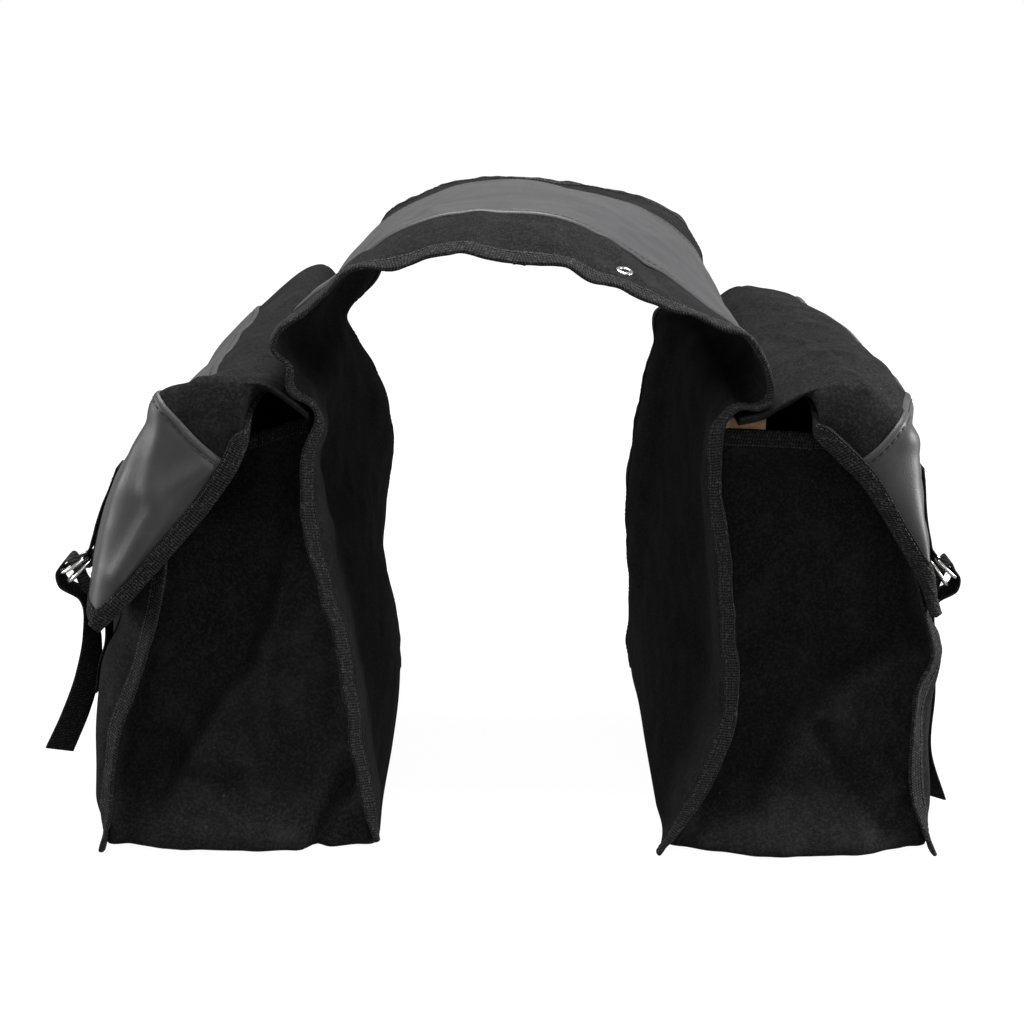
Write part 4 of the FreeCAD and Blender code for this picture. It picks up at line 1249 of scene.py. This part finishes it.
def build_closures(side, lid, seam, outer):
    """The chapes and rings on the flap, and the straps that run from the outer panel through the rings."""
    k = SIDES[side]
    slope = math.radians(RING_SLOPE[side])
    along = np.array([math.cos(slope), 0, -math.sin(slope)])
    out_of = np.array([math.sin(slope), 0, math.cos(slope)])
    for end, sign in ENDS.items():
        y = sign * STRAP_ALONG
        tip = build_chape(side, end, y, lid, seam)
        # The left rear rings hang a little further out than the others, clear of the hem's stitches.
        hang_out, reach = (7.4, 7.2) if (side, end) == ("left", "rear") else (6.6, 8.5)
        hang = np.array([tip + hang_out, y, 174.5])
        build_rings(side, end, hang, along, out_of)
        x_at = column_x(outer, row_at(outer, y), np.array([84.0, 104.0, 118.0]))
        middle = hang + along * RING_RADIUS
        low = middle + along * reach
        through_rings = [
            (x_at[0] + 1.6, y, 84), (x_at[1] + 1.4, y, 104), (x_at[2] + 2.0, y, 120),
            (max(x_at[2] + 1.0, tip - 1.0), y, 140), (middle[0] - 4.5, y, middle[2] - 8.5),
            (middle[0] - 1.0, y, middle[2] + 1.5), (middle[0] + 3.0, y, middle[2] + 7.8),
            (low[0] + 0.4, y, low[2] + 9.2), (low[0] + 3.6, y, low[2] + 4.6), (low[0] + 3.0, y, low[2] - 3.2)]
        whole = [(point, (0, 1, 0)) for point in through_rings] + TAILS[(side, end)]
        path = placed(side, [point for point, _ in whole])
        wide = [(k * sign * w[0], w[1], w[2]) for _, w in whole]
        facing = [(k, 0, 0.2)] * 5 + [(-k, 0, 0.6)] * 3 + [(k, 0, 0)] * (len(whole) - 8)
        strap = ribbon(f"{side}_{end}_strap_web", path, wide, facing)
        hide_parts(f"{side}_{end}_strap")
        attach(strap, f"{side}_bag")
        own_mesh(strap)


# ---------------------------------------------------------------- eyelet and boards
EYELET_AT = (62.5, -145.0)


def build_eyelet(saddle):
    """A rolled flange, its barrel through the cloth and the washer behind it, turned as one profile."""
    r = row_at(saddle, EYELET_AT[1])
    line = patch(saddle, [r], np.arange(saddle.shape[1]))[0]
    c = np.interp(EYELET_AT[0], line[:90, 0], np.arange(90))
    spot = patch(saddle, [r], [c])[0, 0]
    normal = unit(patch(normals_of(saddle, (0.3, 0, 1)), [r], [c])[0, 0])
    first = unit(np.cross(normal, [0.0, 1.0, 0.0]))
    second = np.cross(normal, first)
    profile = np.array([
        (2.9, -1.9), (2.9, 0.5), (3.3, 0.95), (4.1, 1.05), (4.9, 0.8), (5.4, 0.25), (5.4, -0.1),
        (5.2, -0.1), (3.4, -0.1), (3.4, -1.1), (5.6, -1.1), (5.8, -1.5), (5.4, -1.9)])
    a = np.linspace(0, 2 * math.pi, 48, endpoint=False)
    out = np.cos(a)[:, None] * first + np.sin(a)[:, None] * second
    points = spot + out[:, None, :] * profile[None, :, :1] + normal * profile[None, :, 1:]
    faces = quads(48, len(profile), close_rows=True, close_columns=True)
    uv = np.stack(np.broadcast_arrays(a[:, None] * 4, profile[None, :, 0]), -1)
    ring = outward(mesh_object("front_eyelet_metal", points.reshape(-1, 3), faces, uv.reshape(-1, 2), METAL))
    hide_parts("front_eyelet", "front_eyelet_washer")
    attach(ring, "bridge")


# The left bag's mouth has fallen in, and its board is drawn short of it.
BOARD_TOP = {"left": 238.0, "right": 276.0}
BOARD_THICK = 2.5
WING_ROWS = 86       # rows of the gusset, from the mouth down, that a board's wing follows


def build_boards(side, saddle, gusset):
    """The stiffener stands inside the panel and turns the corner behind each end wall."""
    heights = np.linspace(BOARD_TOP[side], 6.0, 60)
    walls = gusset[:WING_ROWS], gusset[::-1][:WING_ROWS]
    ys = np.linspace(-END + 22, END - 22, 60)
    rows = []
    for z in heights:
        wings = []
        for wall, sign in zip(walls, (1.0, -1.0)):
            order = np.argsort(wall[:, 0, 2])
            at = [[np.interp(z, wall[order, c, 2], wall[order, c, a]) for a in (0, 1)] for c in range(6, 22)]
            back = 1.8 + 9.0 * (1 - step_up(z, 226.0, 262.0))
            wings.append([(x, y + sign * back, z) for x, y in at])
        panel = [(SIDES[side] * (column_x(saddle, row_at(saddle, y), np.array([z]))[0] + CLOTH + 0.6), y, z)
                 for y in ys]
        rows.append(wings[0][::-1] + panel + wings[1])
    grid = np.array(rows)
    for _ in range(6):
        grid[:, 1:-1] = (grid[:, :-2] + 2 * grid[:, 1:-1] + grid[:, 2:]) / 4
    back = shell(f"{side}_back_stiffener", grid, (-SIDES[side], 0, 0), BOARD, thickness=BOARD_THICK)
    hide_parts(f"{side}_back_board")
    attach(back, f"{side}_bag")
    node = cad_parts[f"{side}_base_board"]
    node.data.materials.clear()
    node.data.materials.append(BOARD)


# ---------------------------------------------------------------- studio
def build_studio():
    reach, level = 9000.0, -0.4
    corners = [(-reach, -reach, level), (reach, -reach, level), (reach, reach, level), (-reach, reach, level)]
    floor = mesh_object("studio_floor", corners, [[0, 1, 2, 3]], np.zeros((4, 2)), floor_material())
    floor.visible_diffuse = False
    floor.visible_glossy = False
    world = bpy.data.worlds.new("studio")
    bpy.context.scene.world = world
    world.use_nodes = True
    tree = world.node_tree
    soft = tree.nodes["Background"]
    soft.inputs[0].default_value = (1, 1, 1, 1)
    soft.inputs[1].default_value = 0.35
    backdrop = tree.nodes.new("ShaderNodeBackground")
    backdrop.inputs[0].default_value = (1, 1, 1, 1)
    backdrop.inputs[1].default_value = 1.0
    seen = tree.nodes.new("ShaderNodeMixShader")
    tree.links.new(tree.nodes.new("ShaderNodeLightPath").outputs["Is Camera Ray"], seen.inputs[0])
    tree.links.new(soft.outputs[0], seen.inputs[1])
    tree.links.new(backdrop.outputs[0], seen.inputs[2])
    tree.links.new(seen.outputs[0], tree.nodes["World Output"].inputs[0])
    for name, place, aim, size, power in (
            ("key", (0.0, 0.05, 2.2), (0, 0, 0.25), 1.5, 84.0),
            ("right_side", (1.7, -0.25, 0.45), (0.2, 0, 0.2), 0.8, 42.0),
            ("left_side", (-1.7, -0.35, 0.45), (-0.2, 0, 0.2), 0.8, 17.0),
            ("front", (0.2, -2.2, 1.0), (0, 0, 0.2), 1.2, 7.0)):
        lamp = bpy.data.lights.new(name, "AREA")
        lamp.size = size
        lamp.energy = power
        obj = bpy.data.objects.new(name, lamp)
        obj.location = place
        obj.rotation_euler = (Vector(aim) - Vector(place)).to_track_quat("-Z", "Y").to_euler()
        bpy.context.scene.collection.objects.link(obj)
    lens = bpy.data.cameras.new("camera")
    lens.lens = 66.6
    lens.sensor_width = 36.0
    camera = bpy.data.objects.new("camera", lens)
    camera.location = (-0.0045, -1.270, 0.535)
    camera.rotation_euler = (math.radians(74.2), 0, 0)
    bpy.context.scene.collection.objects.link(camera)
    bpy.context.scene.camera = camera
    bpy.context.scene.view_settings.view_transform = "Standard"


for side in SIDES:
    saddle = build_saddle(side)
    outer = build_outer(side)
    gusset = build_gusset(side, saddle, outer)
    build_boards(side, saddle, gusset)
    lid, seam = build_lid(side)
    build_closures(side, lid, seam, outer)
    if side == "right":
        build_eyelet(saddle)
build_studio()
